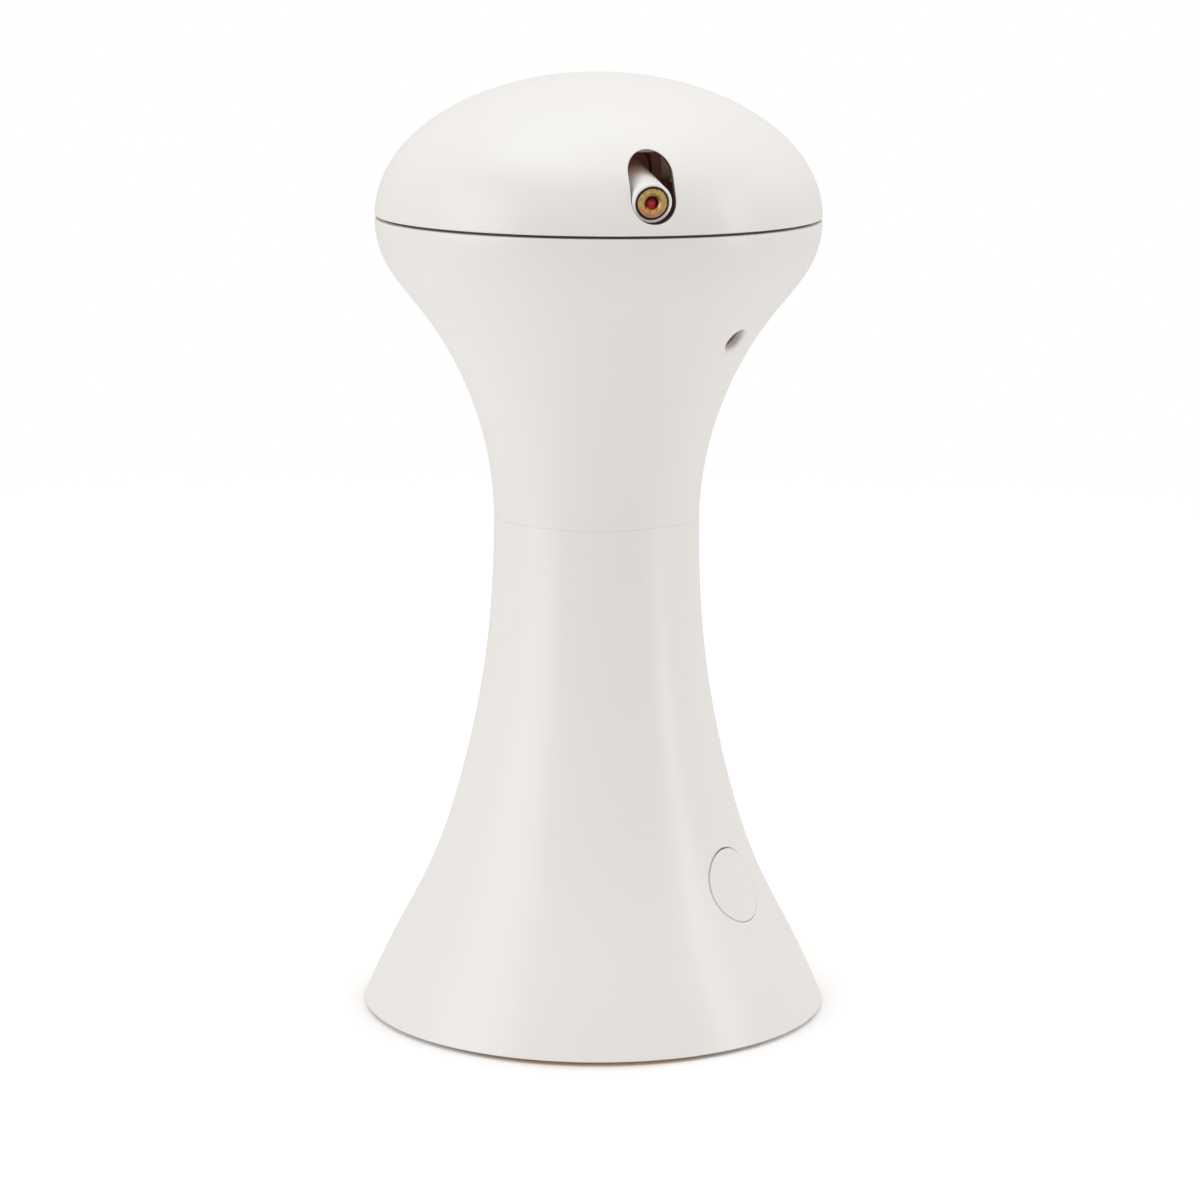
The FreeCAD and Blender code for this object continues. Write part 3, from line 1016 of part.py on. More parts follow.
def build():
    os.makedirs("parts", exist_ok=True)
    save("base_cone", base_cone())
    save("base_plate", base_plate())
    save("rubber_feet", *rubber_feet())
    save("battery_door", battery_door())
    save("aa_cells", *aa_cells())
    save("battery_contacts", *battery_contacts())
    save("battery_springs", *battery_springs())
    save("main_board", main_board())
    save("board_components", *board_components())
    save("ribbon_cable", ribbon_cable())
    save("switch_board", switch_board())
    save("tact_switch", tact_switch())
    save("switch_plunger", switch_plunger())
    save("button_cap", button_cap())
    save("base_screws", *base_screws())
    save("board_screws", *board_screws())
    save("goblet_shell", goblet_shell())
    save("neck_screws", *neck_screws())
    save("chassis_lower_plate", chassis_lower_plate())
    save("chassis_upper_plate", chassis_upper_plate())
    save("chassis_posts", *chassis_posts())
    save("chassis_screws", *chassis_screws())
    save("spindle_bushes", *spindle_bushes())
    save("spin_motor", spin_motor())
    save("motor_screws", *motor_screws())
    save("drive_pinion", drive_pinion())
    save("drive_shaft", drive_shaft())
    save("brush_holder", brush_holder())
    save("spindle_brushes", *spindle_brushes())
    save("spindle", spindle())
    save("spindle_gear", spindle_gear())
    save("slip_ring_drum", slip_ring_drum())
    save("slip_rings", *slip_rings())
    save("dome_shell", dome_shell())
    save("dome_screws", *dome_screws())
    save("turntable", turntable())
    save("spindle_screw", spindle_screw())
    save("tilt_bracket", tilt_bracket())
    save("tilt_motor", tilt_motor())
    save("head_screws", *head_screws())
    save("tilt_pinion", tilt_pinion())
    save("tilt_sector", tilt_sector())
    save("laser_cradle", laser_cradle())
    save("laser_barrel", in_upper_barrel(barrel(UPPER_MOUTH, UPPER_L)))
    save("laser_module", in_upper_barrel(module(UPPER_MOUTH)))
    save("laser_lens", in_upper_barrel(lens(UPPER_MOUTH)))
    save("laser_sleeve", in_upper_barrel(sleeve(UPPER_MOUTH)))
    save("laser_driver_board", in_upper_barrel(driver_board(UPPER_MOUTH)))
    save("lower_hanger", lower_hanger())
    save("lower_barrel", on_lower_barrel(barrel(0, LOWER_L)))
    save("lower_module", on_lower_barrel(module(0)))
    save("lower_lens", on_lower_barrel(lens(0)))
    save("lower_sleeve", on_lower_barrel(sleeve(0)))
    save("lower_driver_board", on_lower_barrel(driver_board(0)))


build()
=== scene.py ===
"""Looks of the automatic cat laser toy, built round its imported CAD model.

Millimetres in the values below, metres in the scene. Azimuths run from -Y (0) towards +X (90).
"""
import json
import math
from collections import namedtuple

import bmesh
import bpy
import numpy as np
from mathutils import Matrix, Vector

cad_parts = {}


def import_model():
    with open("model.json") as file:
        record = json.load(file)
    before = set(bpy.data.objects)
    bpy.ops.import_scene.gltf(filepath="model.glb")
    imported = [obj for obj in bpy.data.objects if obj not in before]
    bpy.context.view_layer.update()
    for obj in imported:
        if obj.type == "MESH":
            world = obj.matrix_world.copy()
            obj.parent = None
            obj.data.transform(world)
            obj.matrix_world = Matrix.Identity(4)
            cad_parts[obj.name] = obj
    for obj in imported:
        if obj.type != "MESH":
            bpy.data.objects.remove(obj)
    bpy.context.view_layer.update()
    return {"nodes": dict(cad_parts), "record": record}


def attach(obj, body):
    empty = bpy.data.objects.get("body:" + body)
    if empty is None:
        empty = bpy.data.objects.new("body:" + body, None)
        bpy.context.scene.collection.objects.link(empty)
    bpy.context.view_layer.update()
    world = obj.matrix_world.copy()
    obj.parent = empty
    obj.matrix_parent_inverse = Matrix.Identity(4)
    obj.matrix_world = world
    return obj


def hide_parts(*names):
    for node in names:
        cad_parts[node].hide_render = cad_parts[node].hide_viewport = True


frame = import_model()

MM = 0.001

# ---- outer form: the points of the part's curves, as radius and height ----
BASE_POINTS = ((59.6, 1.0), (54.6, 12.2), (42.6, 36.0), (34.3, 61.0), (28.0, 94.0), (26.2, 128.1))
GOBLET_POINTS = ((26.2, 128.1), (28.0, 144.4), (34.9, 164.7), (45.1, 181.0), (54.8, 195.2), (56.3, 203.6))
RIM_FLARE = 0.45                    # radius lost per unit of height at the rim
HEAD_GAP, DOME_RISE = 0.7, 35.7
WALL = 2.2

# ---- edges ----
RIM_EASE, NECK_EASE, SEAM_EASE, SLOT_EASE, PORT_EASE, KEY_EASE = 0.3, 0.12, 0.4, 0.35, 1.2, 0.3

# ---- holes ----
SLOT_W, SLOT_LOW, SLOT_HIGH = 11.0, 206.95, 224.2
PORT_R, PORT_Z, PORT_AZ = 3.2, 175.4, (42.6, 222.6)

# ---- key on the base ----
KEY_R, KEY_GAP, KEY_PROUD, KEY_Z, KEY_AZ = 9.6, 0.25, 0.15, 36.65, 43.8
KEY_SAG, KEY_LEAN = 0.12, 0.9       # it sits low in its hole and leans, in degrees
KEY_LIP, KEY_LIP_DEPTH, KEY_LIP_T = 1.1, 4.2, 1.0
KEY_WALL, KEY_SKIN = 1.4, 2.6
KEY_STEM_R, KEY_STEM_L = 1.7, 7.4
KEY_MIDDLE, KEY_RINGS = 1.2, 9      # innermost ring of its face, and their number

# ---- neck joint and screw bosses ----
SPIGOT_L, SPIGOT_GAP = 10.0, 0.1
FLANGE_R, FLANGE_HOLE_R, FLANGE_T = 25.0, 14.0, 2.5
BOSS_R, BOSS_HOLE_R = 3.2, 1.1
CHASSIS_BOSS_RING_R, CHASSIS_BOSS_AZ, CHASSIS_BOSS_Z = 22.0, (0, 120, 240), (132.0, 150.0)
DOME_BOSS_IN, DOME_BOSS_AZ, DOME_BOSS_RISE = 12.3, (60, 180, 300), (2.0, 18.0)

# ---- laser barrels ----
BARREL_R, SLEEVE_R, MODULE_R, APERTURE_R, LENS_R = 4.85, 4.15, 3.6, 1.6, 1.05
MODULE_STEP, MODULE_L, SLEEVE_L, SLEEVE_SINK = 0.3, 16.0, 18.0, 0.15
LENS_DEPTH, LENS_T, LENS_CROWN = 1.1, 1.0, 0.25
LENS_MIDDLE, LENS_RINGS = 0.1, 9    # innermost ring of its face, and their number
TUBE_EASE, SLEEVE_EASE, MODULE_EASE, APERTURE_EASE = 0.2, 0.12, 0.3, 0.5
SLEEVE_GAP, LENS_GAP = 0.01, 0.02
GROOVE = ((2.9, 0.0), (2.8, 0.06), (2.62, 0.06), (2.5, 0.0))  # radius and depth, in the brass front
MODULE_SIDE, MODULE_RINGS = 12.0, 6  # rings on this length keep the shading of its side even
PIVOT_R, PIVOT_Z, UPPER_ANGLE, UPPER_SINK, UPPER_TAIL, UPPER_SIDE = 20.0, 218.15, -10.0, 0.08, 6.5, -0.5
LOWER_SINK, LOWER_L = 3.99, 30.0

# ---- meshes ----
SKIN, LINING, SLOT_WALL = 0, 1, 2   # finishes of a shell's faces
SEGMENTS, SMALL_SEGMENTS, BOSS_SEGMENTS, BOSS_LOOPS = 240, 96, 32, 6
SHARP = 35                          # degrees
BASE_ROW, UPPER_ROW = 1.0, 0.9      # length of the quads along the shells' profiles
GOBLET_LINING_START = 2.0           # along the profile, above the spigot
POLE_GAP = 0.02                     # radians, under the fan at the dome's top
KEY_REACH, PORT_REACH, SLOT_REACH = 1.35, 1.7, 1.28  # half width of a hole's patch, in radii of the hole
PATCH_STEPS = (0.3, 0.55, 0.75, 0.9, 1.0)  # its rings, as shares of the way from border to hole
AIM_SHARE = 0.75                    # a long hole's patch aims at this share of the heights along its middle
NUDGE, END_GAP = 1e-4, 1e-3         # for slopes by difference, and to keep clear of a profile's ends
NEWTON_ROUNDS, HALVINGS = 12, 40
HEIGHT_SAMPLES, LENGTH_SAMPLES = 4001, 1200
JOIN = 1e-8                         # metres, between points that are taken as one

# ---- camera, from the fit to the photograph's outline ----
CAMERA_AT = (-235.06, -947.48, 293.4)
CAMERA_TURN, CAMERA_DOWN, CAMERA_ROLL = 13.993, 10.885, 0.407
CAMERA_LENS, CAMERA_SENSOR = 116.33, 36.0
CAMERA_CLIP = (50.0, 20000.0)

# ---- worked out from the values above ----
RIM_R, RIM_Z = BASE_POINTS[0]
NECK_R, NECK_Z = GOBLET_POINTS[0]
EQUATOR_R, EQUATOR_Z = GOBLET_POINTS[-1]
DOME_R, DOME_Z = EQUATOR_R, EQUATOR_Z + HEAD_GAP
SPIGOT_R, SPIGOT_Z = NECK_R - WALL - SPIGOT_GAP, NECK_Z - SPIGOT_L


# ---- profiles ----
class Spline:
    """Smooth profile through points given as radius and height, by chord length."""

    def __init__(self, points, start, end=(0, 1)):
        p = np.array(points, float)
        h = np.hypot(*np.diff(p, axis=0).T)
        n = len(p)
        a, b = np.zeros((n, n)), np.zeros((n, 2))
        a[0, 0] = a[-1, -1] = 1
        b[0], b[-1] = np.array(start) / np.hypot(*start), np.array(end) / np.hypot(*end)
        for i in range(1, n - 1):
            a[i, i - 1:i + 2] = 1 / h[i - 1], 2 / h[i - 1] + 2 / h[i], 1 / h[i]
            b[i] = 3 * ((p[i] - p[i - 1]) / h[i - 1] ** 2 + (p[i + 1] - p[i]) / h[i] ** 2)
        self.points, self.steps, self.slopes = p, h, np.linalg.solve(a, b)
        self.knots = np.concatenate([[0], np.cumsum(h)])
        self.end = self.knots[-1]

    def value(self, t):
        t = np.atleast_1d(np.asarray(t, float))
        i = np.clip(np.searchsorted(self.knots, t, side="right") - 1, 0, len(self.steps) - 1)
        h = self.steps[i][:, None]
        s = ((t - self.knots[i]) / self.steps[i])[:, None]
        p0, p1, m0, m1 = self.points[i], self.points[i + 1], self.slopes[i], self.slopes[i + 1]
        return ((1 + 2 * s) * (1 - s) ** 2 * p0 + s * (1 - s) ** 2 * h * m0
                + s ** 2 * (3 - 2 * s) * p1 + s ** 2 * (s - 1) * h * m1)


class Ellipse:
    """Quarter of an ellipse, from its widest radius up to the pole."""

    def __init__(self, radius, rise, low):
        self.radius, self.rise, self.low, self.end = radius, rise, low, math.pi / 2

    def value(self, t):
        t = np.atleast_1d(np.asarray(t, float))
        return np.stack([self.radius * np.cos(t), self.low + self.rise * np.sin(t)], 1)


class Inside:
    """Profile that runs inside another one at a depth."""

    def __init__(self, outer, depth):
        self.outer, self.depth, self.end = outer, depth, outer.end

    def value(self, t):
        along = slope(self.outer, t)
        along /= np.hypot(*along.T)[:, None]
        return self.outer.value(t) + self.depth * np.stack([-along[:, 1], along[:, 0]], 1)


def slope(curve, t):
    t = np.atleast_1d(np.asarray(t, float))
    low, high = np.clip(t - NUDGE, 0, curve.end), np.clip(t + NUDGE, 0, curve.end)
    return (curve.value(high) - curve.value(low)) / (high - low)[:, None]


def at_height(curve, z):
    """Parameter of a rising profile at a height."""
    t = np.linspace(0, curve.end, HEIGHT_SAMPLES)
    return float(np.interp(z, curve.value(t)[:, 1], t))


def spaced(curve, low, high, step):
    """Parameters at about even steps of length between two parameters."""
    t = np.linspace(low, high, LENGTH_SAMPLES)
    run = np.concatenate([[0], np.cumsum(np.hypot(*np.diff(curve.value(t), axis=0).T))])
    return np.interp(np.linspace(0, run[-1], max(3, int(run[-1] / step))), run, t)


def rescaled(ts, low, high):
    return low + (ts - ts[0]) * (high - low) / (ts[-1] - ts[0])


def turn(curve, t, phi):
    """Points of the surface of revolution."""
    r, z = curve.value(t).T
    return np.stack([r * np.sin(phi), -r * np.cos(phi), z], 1)


def spot(radius, azimuth):
    angle = math.radians(azimuth)
    return radius * math.sin(angle), -radius * math.cos(angle)


BASE = Spline(BASE_POINTS, (-RIM_FLARE, 1))
GOBLET = Spline(GOBLET_POINTS, (0, 1))
DOME = Ellipse(DOME_R, DOME_RISE, DOME_Z)


def dome_within(depth):
    return Ellipse(DOME_R - depth, DOME_RISE - depth, DOME_Z)


def dome_reach(angle):
    """Distance from the pivot of the upper barrel to the dome's face, at an elevation."""
    out, up = math.cos(math.radians(angle)), math.sin(math.radians(angle))
    height = PIVOT_Z - DOME_Z
    a = (out / DOME_R) ** 2 + (up / DOME_RISE) ** 2
    b = PIVOT_R * out / DOME_R ** 2 + height * up / DOME_RISE ** 2
    c = (PIVOT_R / DOME_R) ** 2 + (height / DOME_RISE) ** 2 - 1
    return (-b + math.sqrt(b * b - a * c)) / a


# ---- mesh building ----
class Build:
    """Vertices and faces, gathered in loops. Each face keeps the finish that was set when it was made."""

    def __init__(self):
        self.points, self.faces, self.finishes, self.finish = [], [], [], SKIN

    def face(self, *corners):
        self.faces.append(corners)
        self.finishes.append(self.finish)

    def loop(self, points):
        first = len(self.points)
        self.points += [tuple(p) for p in points]
        return list(range(first, len(self.points)))

    def strip(self, a, b):
        for i in range(len(a)):
            k = (i + 1) % len(a)
            self.face(a[i], a[k], b[k], b[i])

    def chain(self, loops):
        """Strips from each loop to the next."""
        for a, b in zip(loops, loops[1:]):
            self.strip(a, b)

    def further(self, before, outlines):
        """Strips from a loop through further ones, given by their points; returns the last."""
        for points in outlines:
            ring = self.loop(points)
            self.strip(before, ring)
            before = ring
        return before

    def collar(self, first, outline, last):
        """Turned wall from one loop to another, through an outline of radii and heights."""
        self.chain([first, *[self.loop(circle(r, z)) for r, z in outline], last])

    def fan(self, a, point):
        tip = self.loop([point])[0]
        for i in range(len(a)):
            self.face(a[i], a[(i + 1) % len(a)], tip)

    def object(self, name, matrix=None):
        used = sorted({i for f in self.faces for i in f})
        place = {old: new for new, old in enumerate(used)}
        mesh = bpy.data.meshes.new(name)
        mesh.from_pydata([tuple(c * MM for c in self.points[i]) for i in used], [],
                         [tuple(place[i] for i in f) for f in self.faces])
        mesh.polygons.foreach_set("material_index", self.finishes)
        tidy_normals(mesh)
        mesh.polygons.foreach_set("use_smooth", [True] * len(mesh.polygons))
        mesh.set_sharp_from_angle(angle=math.radians(SHARP))
        made = bpy.data.objects.new(name, mesh)
        bpy.context.scene.collection.objects.link(made)
        if matrix is not None:
            made.matrix_world = matrix
        return made


def tidy_normals(mesh):
    """Joins points that coincide, and turns all faces outward."""
    work = bmesh.new()
    work.from_mesh(mesh)
    bmesh.ops.remove_doubles(work, verts=work.verts, dist=JOIN)
    bmesh.ops.recalc_face_normals(work, faces=work.faces)
    work.to_mesh(mesh)
    work.free()


def circle(radius, z, count=SEGMENTS, x=0.0, y=0.0):
    phi = np.arange(count) * 2 * math.pi / count
    return np.stack([x + radius * np.sin(phi), y - radius * np.cos(phi), np.full(count, z)], 1)


def eased(a, corner, b, steps=6):
    """Points of a rounded corner from a to b, ends left out."""
    s = np.arange(1, steps) / steps
    w = math.sqrt(0.5)
    k0, k1, k2 = (1 - s) ** 2, 2 * w * s * (1 - s), s ** 2
    total = k0 + k1 + k2
    a, corner, b = (np.asarray(v, float) for v in (a, corner, b))
    shape = (-1,) + (1,) * a.ndim
    return (k0.reshape(shape) * a + k1.reshape(shape) * corner + k2.reshape(shape) * b) / total.reshape(shape)


def round_edge(start, r, z, ease, steps=6):
    """Outline of a rounded edge, from a point of the face beside it to the level face at its height."""
    stop = (r - ease, z)
    return [*eased(start, (r, z), stop, steps), stop]


def lathe(build, outline, count):
    """Turned walls from an outline of radii and heights."""
    loops = [build.loop(circle(r, z, count)) for r, z in outline]
    build.chain(loops)
    return loops


def ring_wall(build, outline, count):
    """Turned walls that close on themselves."""
    loops = lathe(build, outline, count)
    build.strip(loops[-1], loops[0])


# ---- holes in turned walls ----
class Hole:
    """Round or long hole through a turned wall, along its own axis."""

    def __init__(self, curve, z, azimuth, radius, ease, reach, half_length=0.0, axis=None):
        self.t, self.phi = at_height(curve, z), math.radians(azimuth)
        self.radius, self.half, self.ease, self.reach = radius, half_length, ease, reach
        self.centre = turn(curve, self.t, self.phi)[0]
        self.side = np.array([math.cos(self.phi), math.sin(self.phi), 0.0])
        along = slope(curve, self.t)[0]
        along /= np.hypot(*along)
        up = np.array([along[0] * math.sin(self.phi), -along[0] * math.cos(self.phi), along[1]])
        out = np.cross(self.side, up)
        self.out = np.array(axis, float) if axis is not None else out
        self.up = np.cross(self.out, self.side)
        self.per_t = float(np.hypot(*slope(curve, self.t)[0]))
        self.r = float(curve.value(self.t)[0, 0])

    def plane(self, points):
        return np.stack([(points - self.centre) @ self.side, (points - self.centre) @ self.up], 1)

    def edge(self, theta):
        """Outline in the plane of the hole at directions from its centre, and its normals."""
        c, s = np.cos(theta), np.sin(theta)
        reach = self.radius / np.maximum(np.abs(c), 1e-9)
        on_side = np.abs(reach * s) <= self.half
        b = self.half * np.abs(s)
        arc = b + np.sqrt(np.maximum(b * b - self.half ** 2 + self.radius ** 2, 0))
        far = np.where(on_side, reach, arc)
        points = np.stack([far * c, far * s], 1)
        middle = np.stack([np.zeros_like(c), np.clip(points[:, 1], -self.half, self.half)], 1)
        normals = points - middle
        return points, normals / np.hypot(*normals.T)[:, None]

    def meet(self, curve, plane):
        """Parameters where lines along the hole through points of its plane meet a turned surface."""
        t, phi = np.full(len(plane), self.t), np.full(len(plane), self.phi)
        e = NUDGE
        for _ in range(NEWTON_ROUNDS):
            rest = plane - self.plane(turn(curve, t, phi))
            dt = (self.plane(turn(curve, t + e, phi)) - self.plane(turn(curve, t - e, phi))) / (2 * e)
            dp = (self.plane(turn(curve, t, phi + e)) - self.plane(turn(curve, t, phi - e))) / (2 * e)
            step = np.linalg.solve(np.stack([dt, dp], 2), rest[:, :, None])[:, :, 0]
            t, phi = np.clip(t + step[:, 0], END_GAP, curve.end - END_GAP), phi + step[:, 1]
        return t, phi

    def on(self, curve, plane):
        """Points where such lines meet the surface."""
        return turn(curve, *self.meet(curve, plane))


Patch = namedtuple("Patch", "ring theta window")  # last loop, directions, and window in the grid


def skin(build, curve, ts, holes, outer_patches=None):
    """Turned surface with a patch of quads about each hole; returns its loops and its patches."""
    build.finish = LINING if outer_patches else SKIN
    step = 2 * math.pi / SEGMENTS
    phis = np.arange(SEGMENTS) * step
    rows = [build.loop(turn(curve, np.full(SEGMENTS, t), phis)) for t in ts]
    patches = [patch(build, curve, ts, rows, step, hole, outer)
               for hole, outer in zip(holes, outer_patches or [None] * len(holes))]
    gone = {(i, j % SEGMENTS) for _, _, (i0, i1, j0, j1) in patches
            for i in range(i0, i1) for j in range(j0, j1)}
    for i in range(len(ts) - 1):
        for j in range(SEGMENTS):
            if (i, j) not in gone:
                k = (j + 1) % SEGMENTS
                build.face(rows[i][j], rows[i][k], rows[i + 1][k], rows[i + 1][j])
    build.finish = SKIN
    return rows, patches


def patch(build, curve, ts, rows, step, hole, outer):
    """Quads from the grid to a hole. On an inner skin they follow the outer patch."""
    window = outer.window if outer else grid_window(hole, ts, step)
    border = window_border(*window)
    bt = np.array([ts[i] for i, _ in border])
    bp = np.array([j * step for _, j in border])
    theta = outer.theta if outer else directions(hole, hole.plane(turn(curve, bt, bp)))
    edge, normals = hole.edge(theta)
    ht, hp = hole.meet(curve, edge if outer else edge + normals * hole.ease)
    ring = build.further([rows[i][j % SEGMENTS] for i, j in border],
                         [turn(curve, bt + (ht - bt) * s, bp + (hp - bp) * s) for s in PATCH_STEPS])
    return Patch(ring, theta, window)


def grid_window(hole, ts, step):
    """First and last row and column of the grid that a hole's patch takes the place of."""
    high, wide = hole.half + hole.radius * hole.reach, hole.radius * hole.reach
    i0 = max(0, int(np.searchsorted(ts, hole.t - high / hole.per_t)) - 1)
    i1 = min(len(ts) - 1, int(np.searchsorted(ts, hole.t + high / hole.per_t)))
    return (i0, i1, math.floor((hole.phi - wide / hole.r) / step),
            math.ceil((hole.phi + wide / hole.r) / step))


def window_border(i0, i1, j0, j1):
    """Rows and columns of the points round a window, in order."""
    return ([(i0, j) for j in range(j0, j1)] + [(i, j1) for i in range(i0, i1)]
            + [(i1, j) for j in range(j1, j0, -1)] + [(i, j0) for i in range(i1, i0, -1)])


def directions(hole, flat):
    """Directions, from a hole's centre, of its outline's points that face the patch's border."""
    aim = np.stack([np.zeros(len(flat)), np.clip(flat[:, 1], -hole.half, hole.half) * AIM_SHARE], 1)
    way = flat - aim
    way /= np.hypot(*way.T)[:, None]
    low, high = np.zeros(len(flat)), np.full(len(flat), hole.half + hole.radius + 1)
    for _ in range(HALVINGS):
        mid = (low + high) / 2
        p = aim + way * mid[:, None]
        c = np.clip(p[:, 1], -hole.half, hole.half)
        inside = np.hypot(p[:, 0], p[:, 1] - c) < hole.radius
        low, high = np.where(inside, mid, low), np.where(inside, high, mid)
    p = aim + way * low[:, None]
    return np.arctan2(p[:, 1], p[:, 0])


def bore(build, outside, inside, curve, hole, finish):
    """Rounded lip of a hole, and its wall from the outer patch to the inner one, with its own finish."""
    edge, normals = hole.edge(outside.theta)
    corner = hole.on(curve, edge)
    start = hole.on(curve, edge + normals * hole.ease)
    stop = corner - hole.out * hole.ease
    lip = build.further(outside.ring, [*eased(start, corner, stop), stop])
    build.finish = finish
    build.strip(lip, inside.ring)
    build.finish = SKIN


def walls(build, outer, inner, ts, inner_ts, holes, finish=SKIN):
    """Outer and inner skin of a shell, joined through its holes; returns the loops of both."""
    rows, patches = skin(build, outer, ts, holes)
    inner_rows, inner_patches = skin(build, inner, inner_ts, holes, patches)
    for hole, outside, inside in zip(holes, patches, inner_patches):
        bore(build, outside, inside, outer, hole, finish)
    return rows, inner_rows


def boss(build, x, y, low, high, room):
    """Screw boss, kept inside the profile of the wall that it stands against."""
    def trimmed(radius, z):
        points = circle(radius, z, BOSS_SEGMENTS, x, y)
        reach = np.hypot(points[:, 0], points[:, 1])
        limit = float(room.value(at_height(room, z))[0, 0])
        points[:, :2] *= np.minimum(1, limit / reach)[:, None]
        return build.loop(points)
    heights = np.linspace(low, high, BOSS_LOOPS)
    loops = [trimmed(BOSS_R, z) for z in heights] + [trimmed(BOSS_HOLE_R, z) for z in heights[::-1]]
    build.chain(loops + loops[:1])


# ---- the shells ----
def base_shell():
    """Flared stand, with the hole for the key and the flange that the goblet sits on."""
    build, inner = Build(), Inside(BASE, WALL)
    key = Hole(BASE, KEY_Z, KEY_AZ, KEY_R + KEY_GAP, KEY_EASE, KEY_REACH)
    ts = spaced(BASE, RIM_EASE, BASE.end - NECK_EASE, BASE_ROW)
    inner_ts = rescaled(ts, at_height(inner, RIM_Z), BASE.end)
    rows, inner_rows = walls(build, BASE, inner, ts, inner_ts, [key])
    top = round_edge((NECK_R, NECK_Z - NECK_EASE), NECK_R, NECK_Z, NECK_EASE, 4)
    build.collar(rows[-1], top, inner_rows[-1])
    foot = round_edge(BASE.value(RIM_EASE)[0], RIM_R, RIM_Z, RIM_EASE, 5)
    build.collar(rows[0], foot, inner_rows[0])
    flange_z = SPIGOT_Z - FLANGE_T
    ring_wall(build, [(FLANGE_R, flange_z), (FLANGE_R, SPIGOT_Z),
                      (FLANGE_HOLE_R, SPIGOT_Z), (FLANGE_HOLE_R, flange_z)], SEGMENTS)
    return build.object("base_skin")


def goblet_shell():
    """Upper stand with its two ports, and the spigot that sits in the base."""
    build, inner = Build(), Inside(GOBLET, WALL)
    ports = [Hole(GOBLET, PORT_Z, azimuth, PORT_R, PORT_EASE, PORT_REACH) for azimuth in PORT_AZ]
    ts = spaced(GOBLET, NECK_EASE, GOBLET.end - SEAM_EASE, UPPER_ROW)
    inner_ts = rescaled(ts, GOBLET_LINING_START, GOBLET.end)
    rows, inner_rows = walls(build, GOBLET, inner, ts, inner_ts, ports)
    top = round_edge((EQUATOR_R, EQUATOR_Z - SEAM_EASE), EQUATOR_R, EQUATOR_Z, SEAM_EASE)
    build.collar(rows[-1], top, inner_rows[-1])
    floor_z = SPIGOT_Z + FLANGE_T
    spigot = [(SPIGOT_R, NECK_Z), (SPIGOT_R, SPIGOT_Z), (FLANGE_HOLE_R, SPIGOT_Z),
              (FLANGE_HOLE_R, floor_z), (SPIGOT_R - WALL, floor_z)]
    foot = round_edge((NECK_R, NECK_Z + NECK_EASE), NECK_R, NECK_Z, NECK_EASE, 4)
    build.collar(rows[0], foot + spigot, inner_rows[0])
    for azimuth in CHASSIS_BOSS_AZ:
        boss(build, *spot(CHASSIS_BOSS_RING_R, azimuth), *CHASSIS_BOSS_Z, Inside(GOBLET, WALL / 2))
    return build.object("goblet_skin")


def dome_shell():
    """Turning head with its slot."""
    build, inner = Build(), dome_within(WALL)
    half = (SLOT_HIGH - SLOT_LOW - SLOT_W) / 2
    slot = Hole(DOME, (SLOT_LOW + SLOT_HIGH) / 2, 0.0, SLOT_W / 2, SLOT_EASE, SLOT_REACH, half, (0, -1, 0))
    ts = spaced(DOME, at_height(DOME, DOME_Z + SEAM_EASE), DOME.end - POLE_GAP, UPPER_ROW)
    rows, inner_rows = walls(build, DOME, inner, ts, ts, [slot], SLOT_WALL)
    build.fan(rows[-1], (0, 0, DOME_Z + DOME_RISE))
    build.fan(inner_rows[-1], (0, 0, DOME_Z + DOME_RISE - WALL))
    foot = round_edge((DOME_R, DOME_Z + SEAM_EASE), DOME_R, DOME_Z, SEAM_EASE)
    build.collar(rows[0], [*foot, (DOME_R - WALL, DOME_Z)], inner_rows[0])
    low, high = (DOME_Z + rise for rise in DOME_BOSS_RISE)
    for azimuth in DOME_BOSS_AZ:
        boss(build, *spot(DOME_R - DOME_BOSS_IN, azimuth), low, high, dome_within(WALL / 2))
    return build.object("dome_skin")


def key_cap():
    """Round key: its face follows the stand, proud of it by a hair."""
    build, face = Build(), Inside(BASE, -KEY_PROUD)
    hole = Hole(BASE, KEY_Z, KEY_AZ, KEY_R, KEY_EASE, KEY_REACH)
    theta = np.arange(SMALL_SEGMENTS) * 2 * math.pi / SMALL_SEGMENTS
    way = np.stack([np.cos(theta), np.sin(theta)], 1)
    centre = hole.on(face, np.zeros((1, 2)))[0]
    rings = [build.loop(hole.on(face, way * radius))
             for radius in np.linspace(KEY_MIDDLE, KEY_R - KEY_EASE, KEY_RINGS)]
    build.chain(rings)
    build.fan(rings[0], centre)
    start, corner = hole.on(face, way * (KEY_R - KEY_EASE)), hole.on(face, way * KEY_R)
    stop = corner - hole.out * KEY_EASE
    before = build.further(rings[-1], [*eased(start, corner, stop), stop])
    hollow_r, lip_low = KEY_R - KEY_WALL, KEY_LIP_DEPTH + KEY_LIP_T
    under = ((KEY_R, KEY_LIP_DEPTH), (KEY_R + KEY_LIP, KEY_LIP_DEPTH), (KEY_R + KEY_LIP, lip_low),
             (hollow_r, lip_low), (hollow_r, KEY_SKIN), (KEY_STEM_R, KEY_SKIN), (KEY_STEM_R, KEY_STEM_L))
    before = build.further(before, [
        hole.centre + radius * (way[:, :1] * hole.side + way[:, 1:] * hole.up) - depth * hole.out
        for radius, depth in under])
    build.fan(before, hole.centre - KEY_STEM_L * hole.out)
    lean = np.array(Matrix.Rotation(math.radians(KEY_LEAN), 3, Vector(hole.side)))
    rest = hole.centre - KEY_SAG * hole.up
    build.points = [tuple(rest + lean @ (np.array(p) - hole.centre)) for p in build.points]
    return build.object("key_cap")


